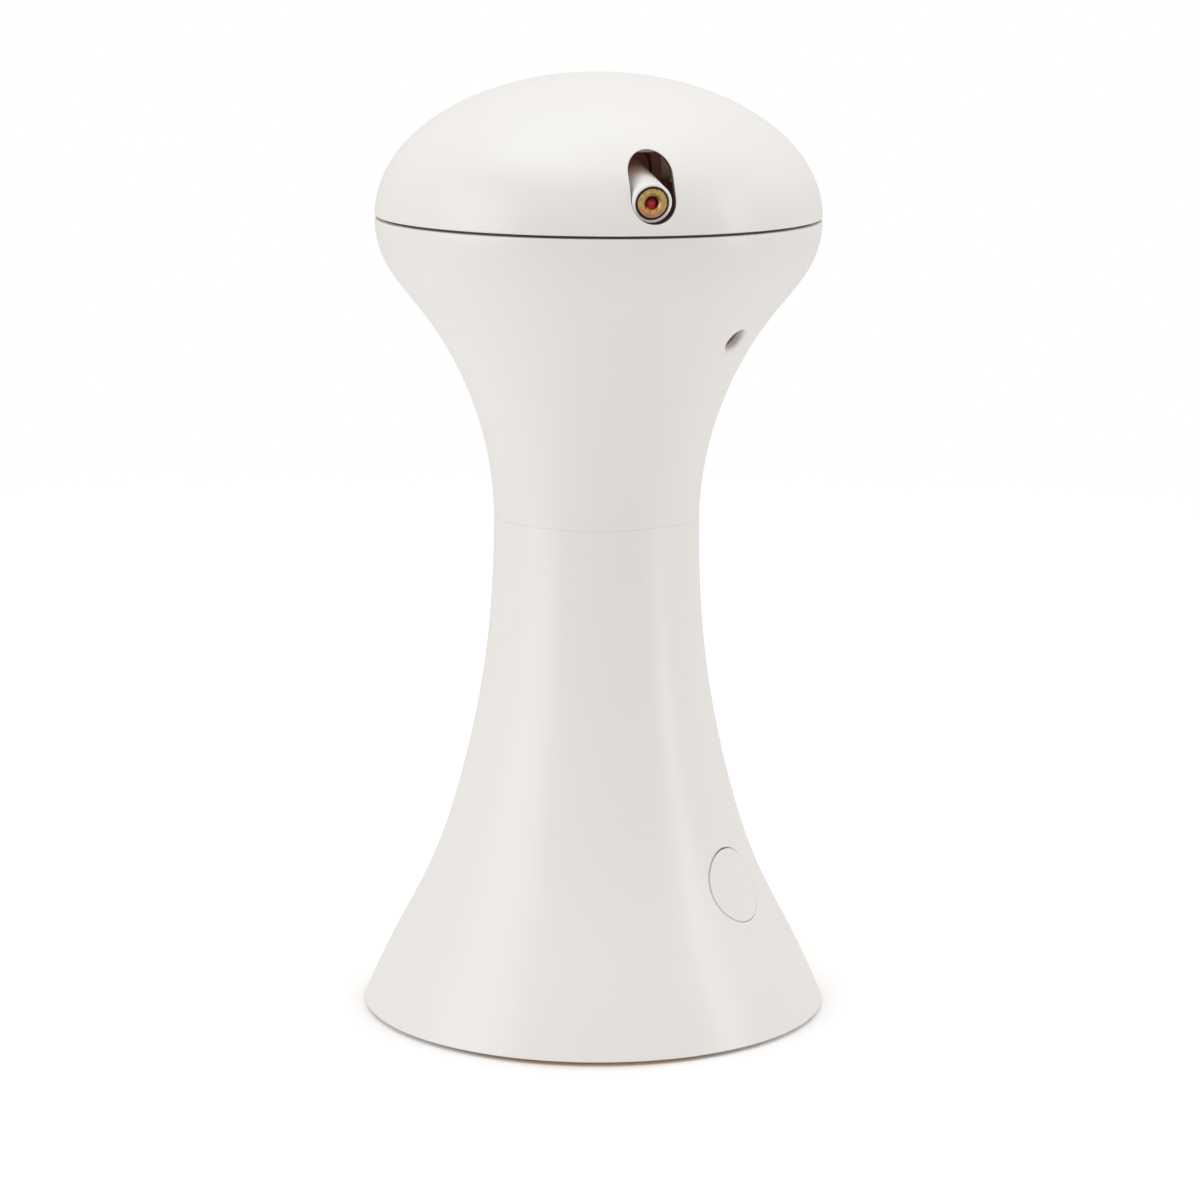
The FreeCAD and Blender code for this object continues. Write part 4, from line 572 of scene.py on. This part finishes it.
# ---- laser barrels ----
def aimed(radius, height, elevation, azimuth):
    """Place of a barrel: its own +Z points outward at an elevation."""
    turn_up = Matrix.Rotation(math.radians(90 - elevation), 4, "X")
    move = Matrix.Translation(Vector((0, -radius, height)) * MM)
    return Matrix.Rotation(math.radians(azimuth), 4, "Z") @ move @ turn_up


def turned_ring(name, outline, matrix):
    """Piece turned about its own +Z from an outline that closes on itself."""
    build = Build()
    ring_wall(build, outline, SMALL_SEGMENTS)
    return build.object(name, matrix)


def turned_solid(name, outline, matrix, tip):
    """Piece turned about its own +Z, level at its start and drawn to a tip at its end."""
    build = Build()
    loops = lathe(build, outline, SMALL_SEGMENTS)
    build.fan(loops[0], (0, 0, outline[0][1]))
    build.fan(loops[-1], (0, 0, tip))
    return build.object(name, matrix)


def rounded_outline(points, ease, steps=4):
    """Closed outline with each of its corners rounded."""
    out, n = [], len(points)
    for i in range(n):
        p, c, q = (np.array(points[k % n], float) for k in (i - 1, i, i + 1))
        a, b = (c + (v - c) / np.hypot(*(v - c)) * ease for v in (p, q))
        out += [a, *eased(a, c, b, steps), b]
    return out


def tube_outline(outer, inner, length, sink, ease):
    """Section of a tube that ends at a length and begins at a sink behind the mouth."""
    return rounded_outline([(outer, -length), (outer, -sink), (inner, -sink), (inner, -length)], ease)


def laser(prefix, matrix, length):
    """White tube, dark sleeve, brass body and red lens, about +Z with the mouth at Z = 0."""
    front, seat = MODULE_STEP, MODULE_STEP - LENS_DEPTH
    deep = seat - LENS_T
    white = tube_outline(BARREL_R, SLEEVE_R, length, 0, TUBE_EASE)
    dark = tube_outline(SLEEVE_R - SLEEVE_GAP, MODULE_R + SLEEVE_GAP, SLEEVE_L, SLEEVE_SINK, SLEEVE_EASE)
    side = [(MODULE_R, z) for z in np.linspace(front - MODULE_SIDE, front - MODULE_EASE, MODULE_RINGS)]
    socket_r = LENS_R + LENS_GAP
    brass = [(MODULE_R, front - MODULE_L), *side,
             *round_edge((MODULE_R, front - MODULE_EASE), MODULE_R, front, MODULE_EASE, 4),
             *[(r, front - depth) for r, depth in GROOVE],
             (APERTURE_R + APERTURE_EASE, front), (APERTURE_R, front - APERTURE_EASE), (APERTURE_R, seat),
             (socket_r, seat), (socket_r, deep)]
    crown = [(r, seat + LENS_CROWN * (1 - (r / LENS_R) ** 2))
             for r in np.linspace(LENS_R, LENS_MIDDLE, LENS_RINGS)]
    glass = [(LENS_R, deep + LENS_GAP), *crown]
    return {
        "tube": turned_ring(prefix + "_tube", white, matrix),
        "sleeve": turned_ring(prefix + "_sleeve", dark, matrix),
        "body": turned_solid(prefix + "_body", brass, matrix, deep),
        "lens": turned_solid(prefix + "_lens", glass, matrix, seat + LENS_CROWN),
    }


# ---- colours ----
SHELL_WHITE = (0.80, 0.785, 0.76)
# the tube's second colour is painted shade on its tail
TUBE_WHITE, TUBE_PAINTED_SHADE = (0.86, 0.85, 0.83), (0.1, 0.065, 0.05)
# the first colour is painted shade on the slot's wall, which is white shell plastic
SLOT_PAINTED_SHADE, CHASSIS_BROWN = (0.075, 0.05, 0.038), (0.22, 0.15, 0.125)
SLEEVE_BLACK, RUBBER_BLACK, EPOXY_BLACK = (0.02, 0.02, 0.018), (0.05, 0.05, 0.05), (0.03, 0.03, 0.033)
ACETAL, NICKEL, ZINC = (0.62, 0.6, 0.55), (0.66, 0.63, 0.58), (0.6, 0.61, 0.62)
CAN_STEEL, BEARING_BRASS = (0.55, 0.55, 0.54), (0.72, 0.5, 0.22)
# colours of the painted glow on the shells' inner skins
GLOW_TONES = ((0.25, (1.0, 0.55, 0.42)), (0.75, (1.0, 0.62, 0.48)))
GOLD_TONES = ((0.3, (0.36, 0.23, 0.08)), (0.55, (0.5, 0.34, 0.13)), (0.75, (0.6, 0.42, 0.18)))
# painted reflection of the red lens on the lower half of the brass face
PAINTED_RED_REFLECTION_TONES = ((0.3, (0.46, 0.2, 0.08)), (0.75, (0.66, 0.32, 0.16)))
# painted shade in the aperture's bore, with painted red light from the lens at its bottom
PAINTED_SHADE_AND_SPILL_TONES = ((0.4, (0.02, 0.006, 0.003)), (0.75, (0.06, 0.012, 0.006)), (1.0, (0.5, 0.06, 0.03)))
PINK_TONES = ((0.0, (0.04, 0.003, 0.01)), (0.5, (0.13, 0.005, 0.025)), (1.0, (0.24, 0.012, 0.05)))
RED_TONES = ((0.0, (0.2, 0.012, 0.01)), (0.5, (0.34, 0.012, 0.015)), (1.0, (0.4, 0.015, 0.035)))
# the second colour is the painted shade over the top of the lens's glow
GLASS_TONES, LENS_PAINTED_SHADE = ((0.3, (0.1, 0.0, 0.005)), (0.7, (0.2, 0.008, 0.012))), (0.01, 0.001, 0.002)
MASK_TONES = ((0.3, (0.015, 0.09, 0.035)), (0.7, (0.025, 0.13, 0.05)))
TRACK_GREEN, VIA_TIN = (0.05, 0.22, 0.09), (0.6, 0.58, 0.5)
CORE_TONES = ((0.1, (0.22, 0.23, 0.25)), (0.6, (0.5, 0.51, 0.53)))
FILM_TONES = ((0.0, (0.02, 0.05, 0.16)), (0.68, (0.03, 0.08, 0.24)),
              (0.72, (0.62, 0.63, 0.64)), (1.0, (0.66, 0.67, 0.68)))
CELL_STEEL_TONES = ((0.3, (0.5, 0.5, 0.5)), (0.7, (0.66, 0.66, 0.65)))
FLOOR_TONES = ((0.3, (0.935, 0.935, 0.935)), (0.7, (0.95, 0.95, 0.95)))

# ---- finishes ----
# strengths of the painted glow on the shells' inner skins, and of the lens over its lit diode
DOME_GLOW, STAND_GLOW, LENS_GLOW = 0.13, 0.10, 0.9
TONE_SCALE, GLOSS_SCALE, WAVE_SCALE, GRAIN_SCALE = 14.0, 90.0, 220.0, 5200.0  # of noise, per metre
NOISE_LOW, NOISE_HIGH = 0.3, 0.7    # most of a noise's values lie between these
RIM_GLOSS = (0.1, 0.8)              # facing values between which a turned-away surface gets rougher
# painted shade darkens the tube between these lengths
TUBE_SHADE_FADE = (-20.0, -11.0)          # behind the mouth
TURNING_PITCH = 0.16
# lengths over which the painted red reflection and the painted red light grow
PAINTED_REFLECTION_FADE, PAINTED_SPILL_FADE = (0.6, -3.0), (1.2, -1.4)    # down the brass front
# the second is where painted shade dims the lens's glow over its top
RED_FADE, LENS_SHADE_FADE = (0.6, -0.9), (0.9, 0.1)          # down the lens
# where the painted shade of the aperture's bore begins
APERTURE_SHADE_FADE, APERTURE_LIP = (0.95, 0.55), 0.1       # behind the brass front, and beside the aperture
TRACK_SCALE, VIA_SCALE, VIA_SIZE = 160.0, 380.0, 0.12
CORE_PITCH = 1.0
CELL_FILM_HALF, CELL_HALF = 23.2, 26.0


class Shader:
    """Node material with one Principled surface, and short ways to add detail to it."""

    def __init__(self, name, **values):
        self.material = bpy.data.materials.new(name)
        self.material.use_nodes = True
        self.tree = self.material.node_tree
        self.surface = self.tree.nodes["Principled BSDF"]
        for key, value in values.items():
            self.surface.inputs[key.replace("_", " ")].default_value = value
        self.place = self.tree.nodes.new("ShaderNodeTexCoord").outputs["Object"]

    def node(self, kind, inputs=None, **settings):
        made = self.tree.nodes.new(kind)
        for key, value in settings.items():
            setattr(made, key, value)
        for key, value in (inputs or {}).items():
            socket = made.inputs[key]
            if isinstance(value, bpy.types.NodeSocket):
                self.tree.links.new(value, socket)
            else:
                socket.default_value = value
        return made

    def link(self, value, socket):
        self.tree.links.new(value, self.surface.inputs[socket])

    def noise(self, scale, detail=2.0, roughness=0.5, place=None):
        return self.node("ShaderNodeTexNoise", {
            "Vector": place or self.place, "Scale": scale, "Detail": detail,
            "Roughness": roughness}).outputs["Fac"]

    def ramp(self, value, stops):
        made = self.node("ShaderNodeValToRGB", {"Fac": value})
        ramp = made.color_ramp
        while len(ramp.elements) < len(stops):
            ramp.elements.new(0.5)
        for element, (position, colour) in zip(ramp.elements, stops):
            element.position, element.color = position, solid(colour)
        return made.outputs["Color"]

    def toned(self, value, colour, darker, lighter):
        """A colour that drifts between a darker and a lighter factor of itself."""
        return self.ramp(value, [(NOISE_LOW, shade(colour, darker)), (NOISE_HIGH, shade(colour, lighter))])

    def range(self, value, low, high, from_low=NOISE_LOW, from_high=NOISE_HIGH, kind="LINEAR"):
        return self.node("ShaderNodeMapRange", {
            "Value": value, "From Min": from_low, "From Max": from_high,
            "To Min": low, "To Max": high}, interpolation_type=kind).outputs["Result"]

    def fade(self, value, ends, low=0.0, high=1.0, kind="LINEAR"):
        """Range over a length, whose ends are given in millimetres."""
        return self.range(value, low, high, *(end * MM for end in ends), kind)

    def bump(self, height, distance, strength=1.0, before=None):
        """Relief with its distance in millimetres."""
        inputs = {"Height": height, "Distance": distance * MM, "Strength": strength}
        if before is not None:
            inputs["Normal"] = before
        return self.node("ShaderNodeBump", inputs).outputs["Normal"]

    def mixed(self, share, a, b):
        return self.node("ShaderNodeMix", {0: share, 6: a, 7: b}, data_type="RGBA").outputs[2]

    def math(self, operation, a, b=0.0):
        return self.node("ShaderNodeMath", {0: a, 1: b}, operation=operation).outputs[0]

    def vector(self, operation, a, b=(0.0, 0.0, 0.0)):
        return self.node("ShaderNodeVectorMath", {0: a, 1: b}, operation=operation).outputs

    def parts(self):
        """X, Y and Z of the place on the piece."""
        return self.node("ShaderNodeSeparateXYZ", {"Vector": self.place}).outputs

    def radius(self, x, y):
        flat = self.node("ShaderNodeCombineXYZ", {"X": x, "Y": y}).outputs[0]
        return self.vector("LENGTH", flat)["Value"]


def shade(colour, factor):
    return tuple(min(1.0, c * factor) for c in colour)


def solid(colour):
    """Colour with its alpha, as a socket takes it."""
    return (*colour, 1)


def moulded(name, colour, rough, grain, spread, uneven=0.035, rim_rough=None, **values):
    """Injection-moulded plastic: faint tone drift, uneven gloss and a fine mould texture.

    With a rim roughness, the gloss softens where the surface turns away."""
    s = Shader(name, **values)
    s.link(s.toned(s.noise(TONE_SCALE, detail=3.0), colour, 1 - spread, 1 + spread), "Base Color")
    gloss = s.range(s.noise(GLOSS_SCALE, detail=4.0), rough - uneven, rough + uneven)
    if rim_rough is not None:
        away = s.node("ShaderNodeLayerWeight", {"Blend": 0.5}).outputs["Facing"]
        gloss = s.math("ADD", gloss, s.range(away, 0.0, rim_rough - rough, *RIM_GLOSS, "SMOOTHSTEP"))
    s.link(gloss, "Roughness")
    fine = s.bump(s.noise(GRAIN_SCALE), grain)
    s.link(s.bump(s.noise(WAVE_SCALE, detail=3.0), grain * 1.5, before=fine), "Normal")
    return s.material


def tube_plastic(name):
    """White tube of a laser, darkened by painted shade towards its tail inside the housing."""
    s = Shader(name)
    # painted shade darkens the tube's tail
    front = s.fade(s.parts()["Z"], TUBE_SHADE_FADE, kind="SMOOTHSTEP")
    white = s.toned(s.noise(TONE_SCALE, detail=3.0), TUBE_WHITE, darker=0.99, lighter=1.01)
    s.link(s.mixed(front, solid(TUBE_PAINTED_SHADE), white), "Base Color")
    s.link(s.range(s.noise(GLOSS_SCALE, detail=4.0), low=0.28, high=0.34), "Roughness")
    s.link(s.bump(s.noise(WAVE_SCALE, detail=3.0), distance=0.005), "Normal")
    return s.material


def shell_lining(name, glow):
    """Inner skin of the shells, with a painted glow: a dim warm emission that stands in for the light that
    comes through a thin wall.
    """
    s = Shader(name, Roughness=0.45, Emission_Strength=glow)
    cloud = s.noise(scale=26.0, detail=4.0)
    s.link(s.toned(cloud, SHELL_WHITE, darker=0.93, lighter=1.0), "Base Color")
    s.link(s.ramp(cloud, GLOW_TONES), "Emission Color")
    s.link(s.bump(s.noise(scale=1500.0, detail=3.0), distance=0.01), "Normal")
    s.material.cycles.emission_sampling = "NONE"
    return s.material


def metal(name, colour, rough, brushed=(1.0, 1.0, 1.0)):
    """Metal with drawn or turned marks, cloudy tarnish and uneven gloss."""
    s = Shader(name, Metallic=1.0)
    marks = s.noise(scale=2600.0, detail=4.0, roughness=0.6, place=s.vector("MULTIPLY", s.place, brushed)[0])
    s.link(s.toned(s.noise(scale=180.0, detail=4.0), colour, darker=0.94, lighter=1.06), "Base Color")
    s.link(s.range(marks, rough - 0.08, rough + 0.12), "Roughness")
    s.link(s.bump(marks, distance=0.008), "Normal")
    return s.material


def turned_brass(name):
    """Lathe-turned brass: fine rings about the barrel's axis, a painted red reflection of the lens on its
    lower half, and painted shade in the aperture, with painted red light at its bottom.
    """
    s = Shader(name, Metallic=1.0)
    parts = s.parts()
    radius = s.radius(parts["X"], parts["Y"])
    rings = s.math("SINE", s.math("MULTIPLY", radius, 2 * math.pi / (TURNING_PITCH * MM)))
    cloud = s.noise(scale=900.0, detail=4.0)
    # the lower half takes the painted red reflection of the lens
    face = s.mixed(s.fade(parts["Y"], PAINTED_REFLECTION_FADE), s.ramp(cloud, GOLD_TONES), s.ramp(cloud, PAINTED_RED_REFLECTION_TONES))
    front = s.fade(parts["Z"], [MODULE_STEP - depth for depth in APERTURE_SHADE_FADE])
    shown = s.math("MAXIMUM", front, s.math("GREATER_THAN", radius, (APERTURE_R + APERTURE_LIP) * MM))
    # painted shade inside the aperture, with painted red light at its bottom
    painted_shade_and_spill = s.ramp(s.fade(parts["Y"], PAINTED_SPILL_FADE), PAINTED_SHADE_AND_SPILL_TONES)
    s.link(s.mixed(shown, painted_shade_and_spill, face), "Base Color")
    s.link(s.range(cloud, low=0.22, high=0.4), "Roughness")
    fine = s.bump(rings, distance=0.006, strength=0.6)
    s.link(s.bump(s.noise(scale=4000.0, detail=3.0), distance=0.01, strength=0.7, before=fine), "Normal")
    return s.material


def red_lens(name):
    """Red glass over a lit diode; painted shade dims its glow over the top."""
    s = Shader(name, Roughness=0.3, IOR=1.5, Specular_IOR_Level=0.15, Emission_Strength=LENS_GLOW)
    parts = s.parts()
    core = s.fade(s.radius(parts["X"], parts["Y"]), (0.0, LENS_R), low=1.0, high=0.0)
    glow = s.mixed(s.fade(parts["Y"], RED_FADE), s.ramp(core, PINK_TONES), s.ramp(core, RED_TONES))
    # painted shade dims the glow over the top of the lens
    lit = s.fade(parts["Y"], LENS_SHADE_FADE, low=0.15)
    s.link(s.mixed(lit, solid(LENS_PAINTED_SHADE), glow), "Emission Color")
    s.link(s.ramp(s.noise(scale=2500.0), GLASS_TONES), "Base Color")
    return s.material


def rubber(name, colour):
    """Soft rubber with a matt, slightly pitted skin."""
    s = Shader(name)
    pits = s.node("ShaderNodeTexVoronoi", {"Vector": s.place, "Scale": 2600.0}).outputs["Distance"]
    s.link(s.toned(s.noise(scale=300.0, detail=4.0), colour, darker=0.8, lighter=1.25), "Base Color")
    s.link(s.range(pits, low=0.6, high=0.8, from_low=0.0, from_high=0.6), "Roughness")
    s.link(s.bump(s.noise(scale=3200.0, detail=3.0), distance=0.02), "Normal")
    return s.material


def circuit_board(name):
    """Green solder mask over a pattern of tracks."""
    s = Shader(name, Roughness=0.35)
    tracks = s.node("ShaderNodeTexBrick", {"Vector": s.place, "Scale": TRACK_SCALE, "Mortar Size": 0.03,
                                           "Mortar Smooth": 0.2}).outputs["Fac"]
    vias = s.node("ShaderNodeTexVoronoi", {"Vector": s.place, "Scale": VIA_SCALE}).outputs["Distance"]
    line = s.mixed(tracks, s.ramp(s.noise(scale=60.0, detail=3.0), MASK_TONES), solid(TRACK_GREEN))
    dots = s.math("LESS_THAN", vias, VIA_SIZE)
    s.link(s.mixed(dots, line, solid(VIA_TIN)), "Base Color")
    s.link(s.bump(tracks, distance=0.03), "Normal")
    return s.material


def flat_ribbon(name):
    """Flat cable: parallel insulated cores."""
    s = Shader(name, Roughness=0.4)
    cores = s.math("SINE", s.math("MULTIPLY", s.parts()["Y"], 2 * math.pi / (CORE_PITCH * MM)))
    s.link(s.ramp(s.range(cores, low=0.0, high=1.0, from_low=-1.0, from_high=1.0), CORE_TONES), "Base Color")
    s.link(s.bump(cores, distance=0.2), "Normal")
    return s.material


def battery_jacket(name):
    """Printed film on the cell's side, bare steel at its ends."""
    s = Shader(name, Roughness=0.25)
    y = s.parts()["Y"]
    end = s.math("GREATER_THAN", s.math("ABSOLUTE", y), CELL_FILM_HALF * MM)
    film = s.ramp(s.fade(y, (-CELL_HALF, CELL_HALF)), FILM_TONES)
    s.link(s.mixed(end, film, s.ramp(s.noise(scale=400.0, detail=3.0), CELL_STEEL_TONES)), "Base Color")
    s.link(end, "Metallic")
    s.link(s.bump(s.noise(scale=900.0, detail=3.0), distance=0.01), "Normal")
    return s.material


MATERIALS = {
    "shell": moulded("satin_white", SHELL_WHITE, rough=0.286, grain=0.0012, spread=0.006,
                     uneven=0.01, rim_rough=0.55, IOR=1.5),
    "dome_lining": shell_lining("dome_lining", DOME_GLOW),
    "stand_lining": shell_lining("stand_lining", STAND_GLOW),
    # wall of the dome's slot: white plastic painted dark brown as shade
    "slot_wall": moulded("slot_painted_shade", SLOT_PAINTED_SHADE, rough=0.5, grain=0.02, spread=0.15),
    "barrel": tube_plastic("barrel_white"),
    "chassis": moulded("chassis_brown", CHASSIS_BROWN, rough=0.5, grain=0.02, spread=0.15),
    "sleeve": moulded("sleeve_black", SLEEVE_BLACK, rough=0.55, grain=0.02, spread=0.2),
    "gear": moulded("gear_acetal", ACETAL, rough=0.4, grain=0.01, spread=0.03),
    "component": moulded("component_epoxy", EPOXY_BLACK, rough=0.45, grain=0.01, spread=0.2),
    "rubber": rubber("foot_rubber", RUBBER_BLACK),
    "cell_jacket": battery_jacket("cell_jacket"),
    "board": circuit_board("circuit_board"),
    "ribbon": flat_ribbon("flat_ribbon"),
    "contact": metal("nickel_strip", NICKEL, rough=0.3, brushed=(1.0, 0.1, 1.0)),
    "steel": metal("zinc_steel", ZINC, rough=0.3),
    "motor_can": metal("motor_can_steel", CAN_STEEL, rough=0.35, brushed=(1.0, 1.0, 0.08)),
    "brass": metal("bearing_brass", BEARING_BRASS, rough=0.3),
    "lens": red_lens("red_lens"),
    "turned_brass": turned_brass("turned_brass"),
}


# ---- pieces ----
def paint(piece, *materials):
    """Gives a piece its finishes. A bare one isn't cleared, which would unset the finishes of its faces."""
    if piece.data.materials:
        piece.data.materials.clear()
    for material in materials:
        piece.data.materials.append(material)


def paint_nodes():
    """Gives each CAD node the finish of its slot in the record."""
    slots = {part["node"]: part["material_slot"] for part in frame["record"]["subparts"]}
    for name, node in frame["nodes"].items():
        paint(node, MATERIALS[slots[name]])


def stand_for(piece, node, body, slot, *materials):
    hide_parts(node)
    paint(piece, *[MATERIALS[name] for name in materials or (slot,)])
    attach(piece, body)


def shells():
    stand_for(base_shell(), "base_cone", "stand", "shell", "shell", "stand_lining")
    stand_for(goblet_shell(), "goblet_shell", "stand", "shell", "shell", "stand_lining")
    stand_for(dome_shell(), "dome_shell", "head", "shell", "shell", "dome_lining", "slot_wall")
    stand_for(key_cap(), "button_cap", "button", "shell")


def upper_place(mouth):
    """Place of the upper barrel, with its mouth at a distance from its pivot."""
    side = Matrix.Translation(Vector((UPPER_SIDE, 0, mouth)) * MM)
    return aimed(PIVOT_R, PIVOT_Z, UPPER_ANGLE, 0) @ side


def lower_place():
    """Place of the lower barrel, square to the goblet's face in the far port."""
    port_t = at_height(GOBLET, PORT_Z)
    port_r = float(GOBLET.value(port_t)[0, 0])
    along = slope(GOBLET, port_t)[0]
    tilt = math.degrees(math.atan2(-along[0], along[1]))
    mouth_z = PORT_Z - LOWER_SINK * math.tan(math.radians(tilt))
    return aimed(port_r - LOWER_SINK, mouth_z, tilt, PORT_AZ[1])


def lasers():
    mouth = dome_reach(UPPER_ANGLE) - UPPER_SINK
    for prefix, nodes, body, place, length in (
            ("upper", "laser", "upper_laser", upper_place(mouth), mouth + UPPER_TAIL),
            ("lower", "lower", "head", lower_place(), LOWER_L)):
        made = laser(prefix, place, length)
        stand_for(made["tube"], nodes + "_barrel", body, "barrel")
        stand_for(made["sleeve"], nodes + "_sleeve", body, "sleeve")
        stand_for(made["body"], nodes + "_module", body, "brass", "turned_brass")
        stand_for(made["lens"], nodes + "_lens", body, "lens")


# ---- stage ----
FLOOR_RINGS = (52.5, 60.0, 120.0, 240.0, 480.0, 900.0, 1600.0)
FLOOR_FADE = (300.0, 900.0)         # radii between which the floor dissolves
FLOOR_NEAR, FLOOR_FAR = ((60.0, 78.0), 0.13), ((90.0, 260.0), 0.20)  # reach and lift of its two glows
# painted warm shadow on the floor beside the base
CONTACT, CONTACT_PAINTED_SHADOW = (59.0, 63.2), (0.86, 0.77, 0.68)  # radii between which the warm tint ends
CONTACT_FRONT, CONTACT_TURN = (-0.24, -0.97, 0.0), (0.6, 0.98)  # its direction, and how it thins beside it
CONTACT_SIDES = 9.0                 # elsewhere its radii are this much less, under the base
WORLD_LEVEL, WORLD_COLOUR, WORLD_SEEN = 0.60, (1.0, 0.945, 0.93), (1, 1, 1)
LAMP_COLOUR, LAMP_AIM = (0.95, 1.0, 1.0), (0.0, 0.0, 120.0)
# name, azimuth, elevation, distance, width, height (metres) and power
LAMPS = (
    ("left_box", -78, 12, 1.2, 0.90, 1.0, 4.5),
    ("left_high", -90, 70, 1.2, 0.7, 0.7, 0.9),
    ("right_strip", 60, 12, 1.2, 0.25, 1.0, 2.3),
    ("right_high", 90, 40, 1.2, 1.2, 0.9, 1.9),
    ("top_box", 0, 90, 1.2, 1.3, 1.3, 6.3),
)


def floor_white():
    """White with a painted warm shadow by the base, strongest at its front; it lifts away from the base and
    dissolves far out.
    """
    s = Shader("floor_white", Roughness=0.9, Specular_IOR_Level=0.1, Emission_Color=(1, 1, 1, 1))
    reach = s.vector("LENGTH", s.place)["Value"]
    way = s.vector("NORMALIZE", s.place)[0]
    facing = s.vector("DOT_PRODUCT", way, CONTACT_FRONT)["Value"]
    away = s.math("ADD", reach, s.range(facing, CONTACT_SIDES * MM, 0.0, *CONTACT_TURN))
    white = s.ramp(s.noise(scale=20.0, detail=3.0), FLOOR_TONES)
    # painted warm shadow where the floor meets the base
    s.link(s.mixed(s.fade(away, CONTACT), solid(CONTACT_PAINTED_SHADOW), white), "Base Color")
    near, far = (s.fade(away, ends, 0.0, lift) for ends, lift in (FLOOR_NEAR, FLOOR_FAR))
    seen = s.node("ShaderNodeLightPath").outputs["Is Camera Ray"]
    s.link(s.math("MULTIPLY", s.math("ADD", near, far), seen), "Emission Strength")
    s.material.cycles.emission_sampling = "NONE"
    clear = s.node("ShaderNodeBsdfTransparent").outputs[0]
    gone = s.fade(reach, FLOOR_FADE, kind="SMOOTHSTEP")
    mix = s.node("ShaderNodeMixShader", {0: gone, 1: s.surface.outputs[0], 2: clear}).outputs[0]
    s.tree.links.new(mix, s.tree.nodes["Material Output"].inputs["Surface"])
    return s.material


def floor():
    """Floor that is open under the base, so that views from below show the battery cover."""
    build = Build()
    lathe(build, [(r, 0.0) for r in FLOOR_RINGS], SMALL_SEGMENTS)
    made = build.object("floor")
    paint(made, floor_white())


def world():
    """Soft warm surround; the camera sees it white."""
    made = bpy.data.worlds.new("surround")
    made.use_nodes = True
    tree = made.node_tree
    soft = tree.nodes["Background"]
    soft.inputs["Color"].default_value = solid(WORLD_COLOUR)
    soft.inputs["Strength"].default_value = WORLD_LEVEL
    white = tree.nodes.new("ShaderNodeBackground")
    white.inputs["Color"].default_value = solid(WORLD_SEEN)
    path = tree.nodes.new("ShaderNodeLightPath")
    mix = tree.nodes.new("ShaderNodeMixShader")
    tree.links.new(path.outputs["Is Camera Ray"], mix.inputs[0])
    tree.links.new(soft.outputs[0], mix.inputs[1])
    tree.links.new(white.outputs[0], mix.inputs[2])
    tree.links.new(mix.outputs[0], tree.nodes["World Output"].inputs["Surface"])
    bpy.context.scene.world = made


def softbox(name, azimuth, elevation, distance, width, height, power):
    """Area lamp round the object, aimed at its middle."""
    data = bpy.data.lights.new(name, "AREA")
    data.shape, data.size, data.size_y = "RECTANGLE", width, height
    data.energy, data.color = power, LAMP_COLOUR
    lamp = bpy.data.objects.new(name, data)
    a, e = math.radians(azimuth), math.radians(elevation)
    back = Vector((math.sin(a) * math.cos(e), -math.cos(a) * math.cos(e), math.sin(e)))
    lamp.location = Vector(LAMP_AIM) * MM + back * distance
    lamp.rotation_mode = "QUATERNION"
    lamp.rotation_quaternion = (-back).to_track_quat("-Z", "Y")
    bpy.context.scene.collection.objects.link(lamp)


def camera():
    """Camera at the photograph's place, turned, pointed down and rolled by the fitted angles."""
    data = bpy.data.cameras.new("camera")
    data.lens, data.sensor_width = CAMERA_LENS, CAMERA_SENSOR
    made = bpy.data.objects.new("camera", data)
    a, p, q = (math.radians(v) for v in (CAMERA_TURN, CAMERA_DOWN, CAMERA_ROLL))
    look = Vector((math.cos(p) * math.sin(a), math.cos(p) * math.cos(a), -math.sin(p)))
    right = look.cross(Vector((0, 0, 1))).normalized()
    up = right.cross(look)
    right, up = (math.cos(q) * right + math.sin(q) * up, math.cos(q) * up - math.sin(q) * right)
    turn_to = Matrix((right, up, -look)).transposed().to_4x4()
    made.matrix_world = Matrix.Translation(Vector(CAMERA_AT) * MM) @ turn_to
    data.clip_start, data.clip_end = (distance * MM for distance in CAMERA_CLIP)
    bpy.context.scene.collection.objects.link(made)
    bpy.context.scene.camera = made


paint_nodes()
shells()
lasers()
floor()
world()
for lamp in LAMPS:
    softbox(*lamp)
camera()
bpy.context.scene.view_settings.view_transform = "Standard"
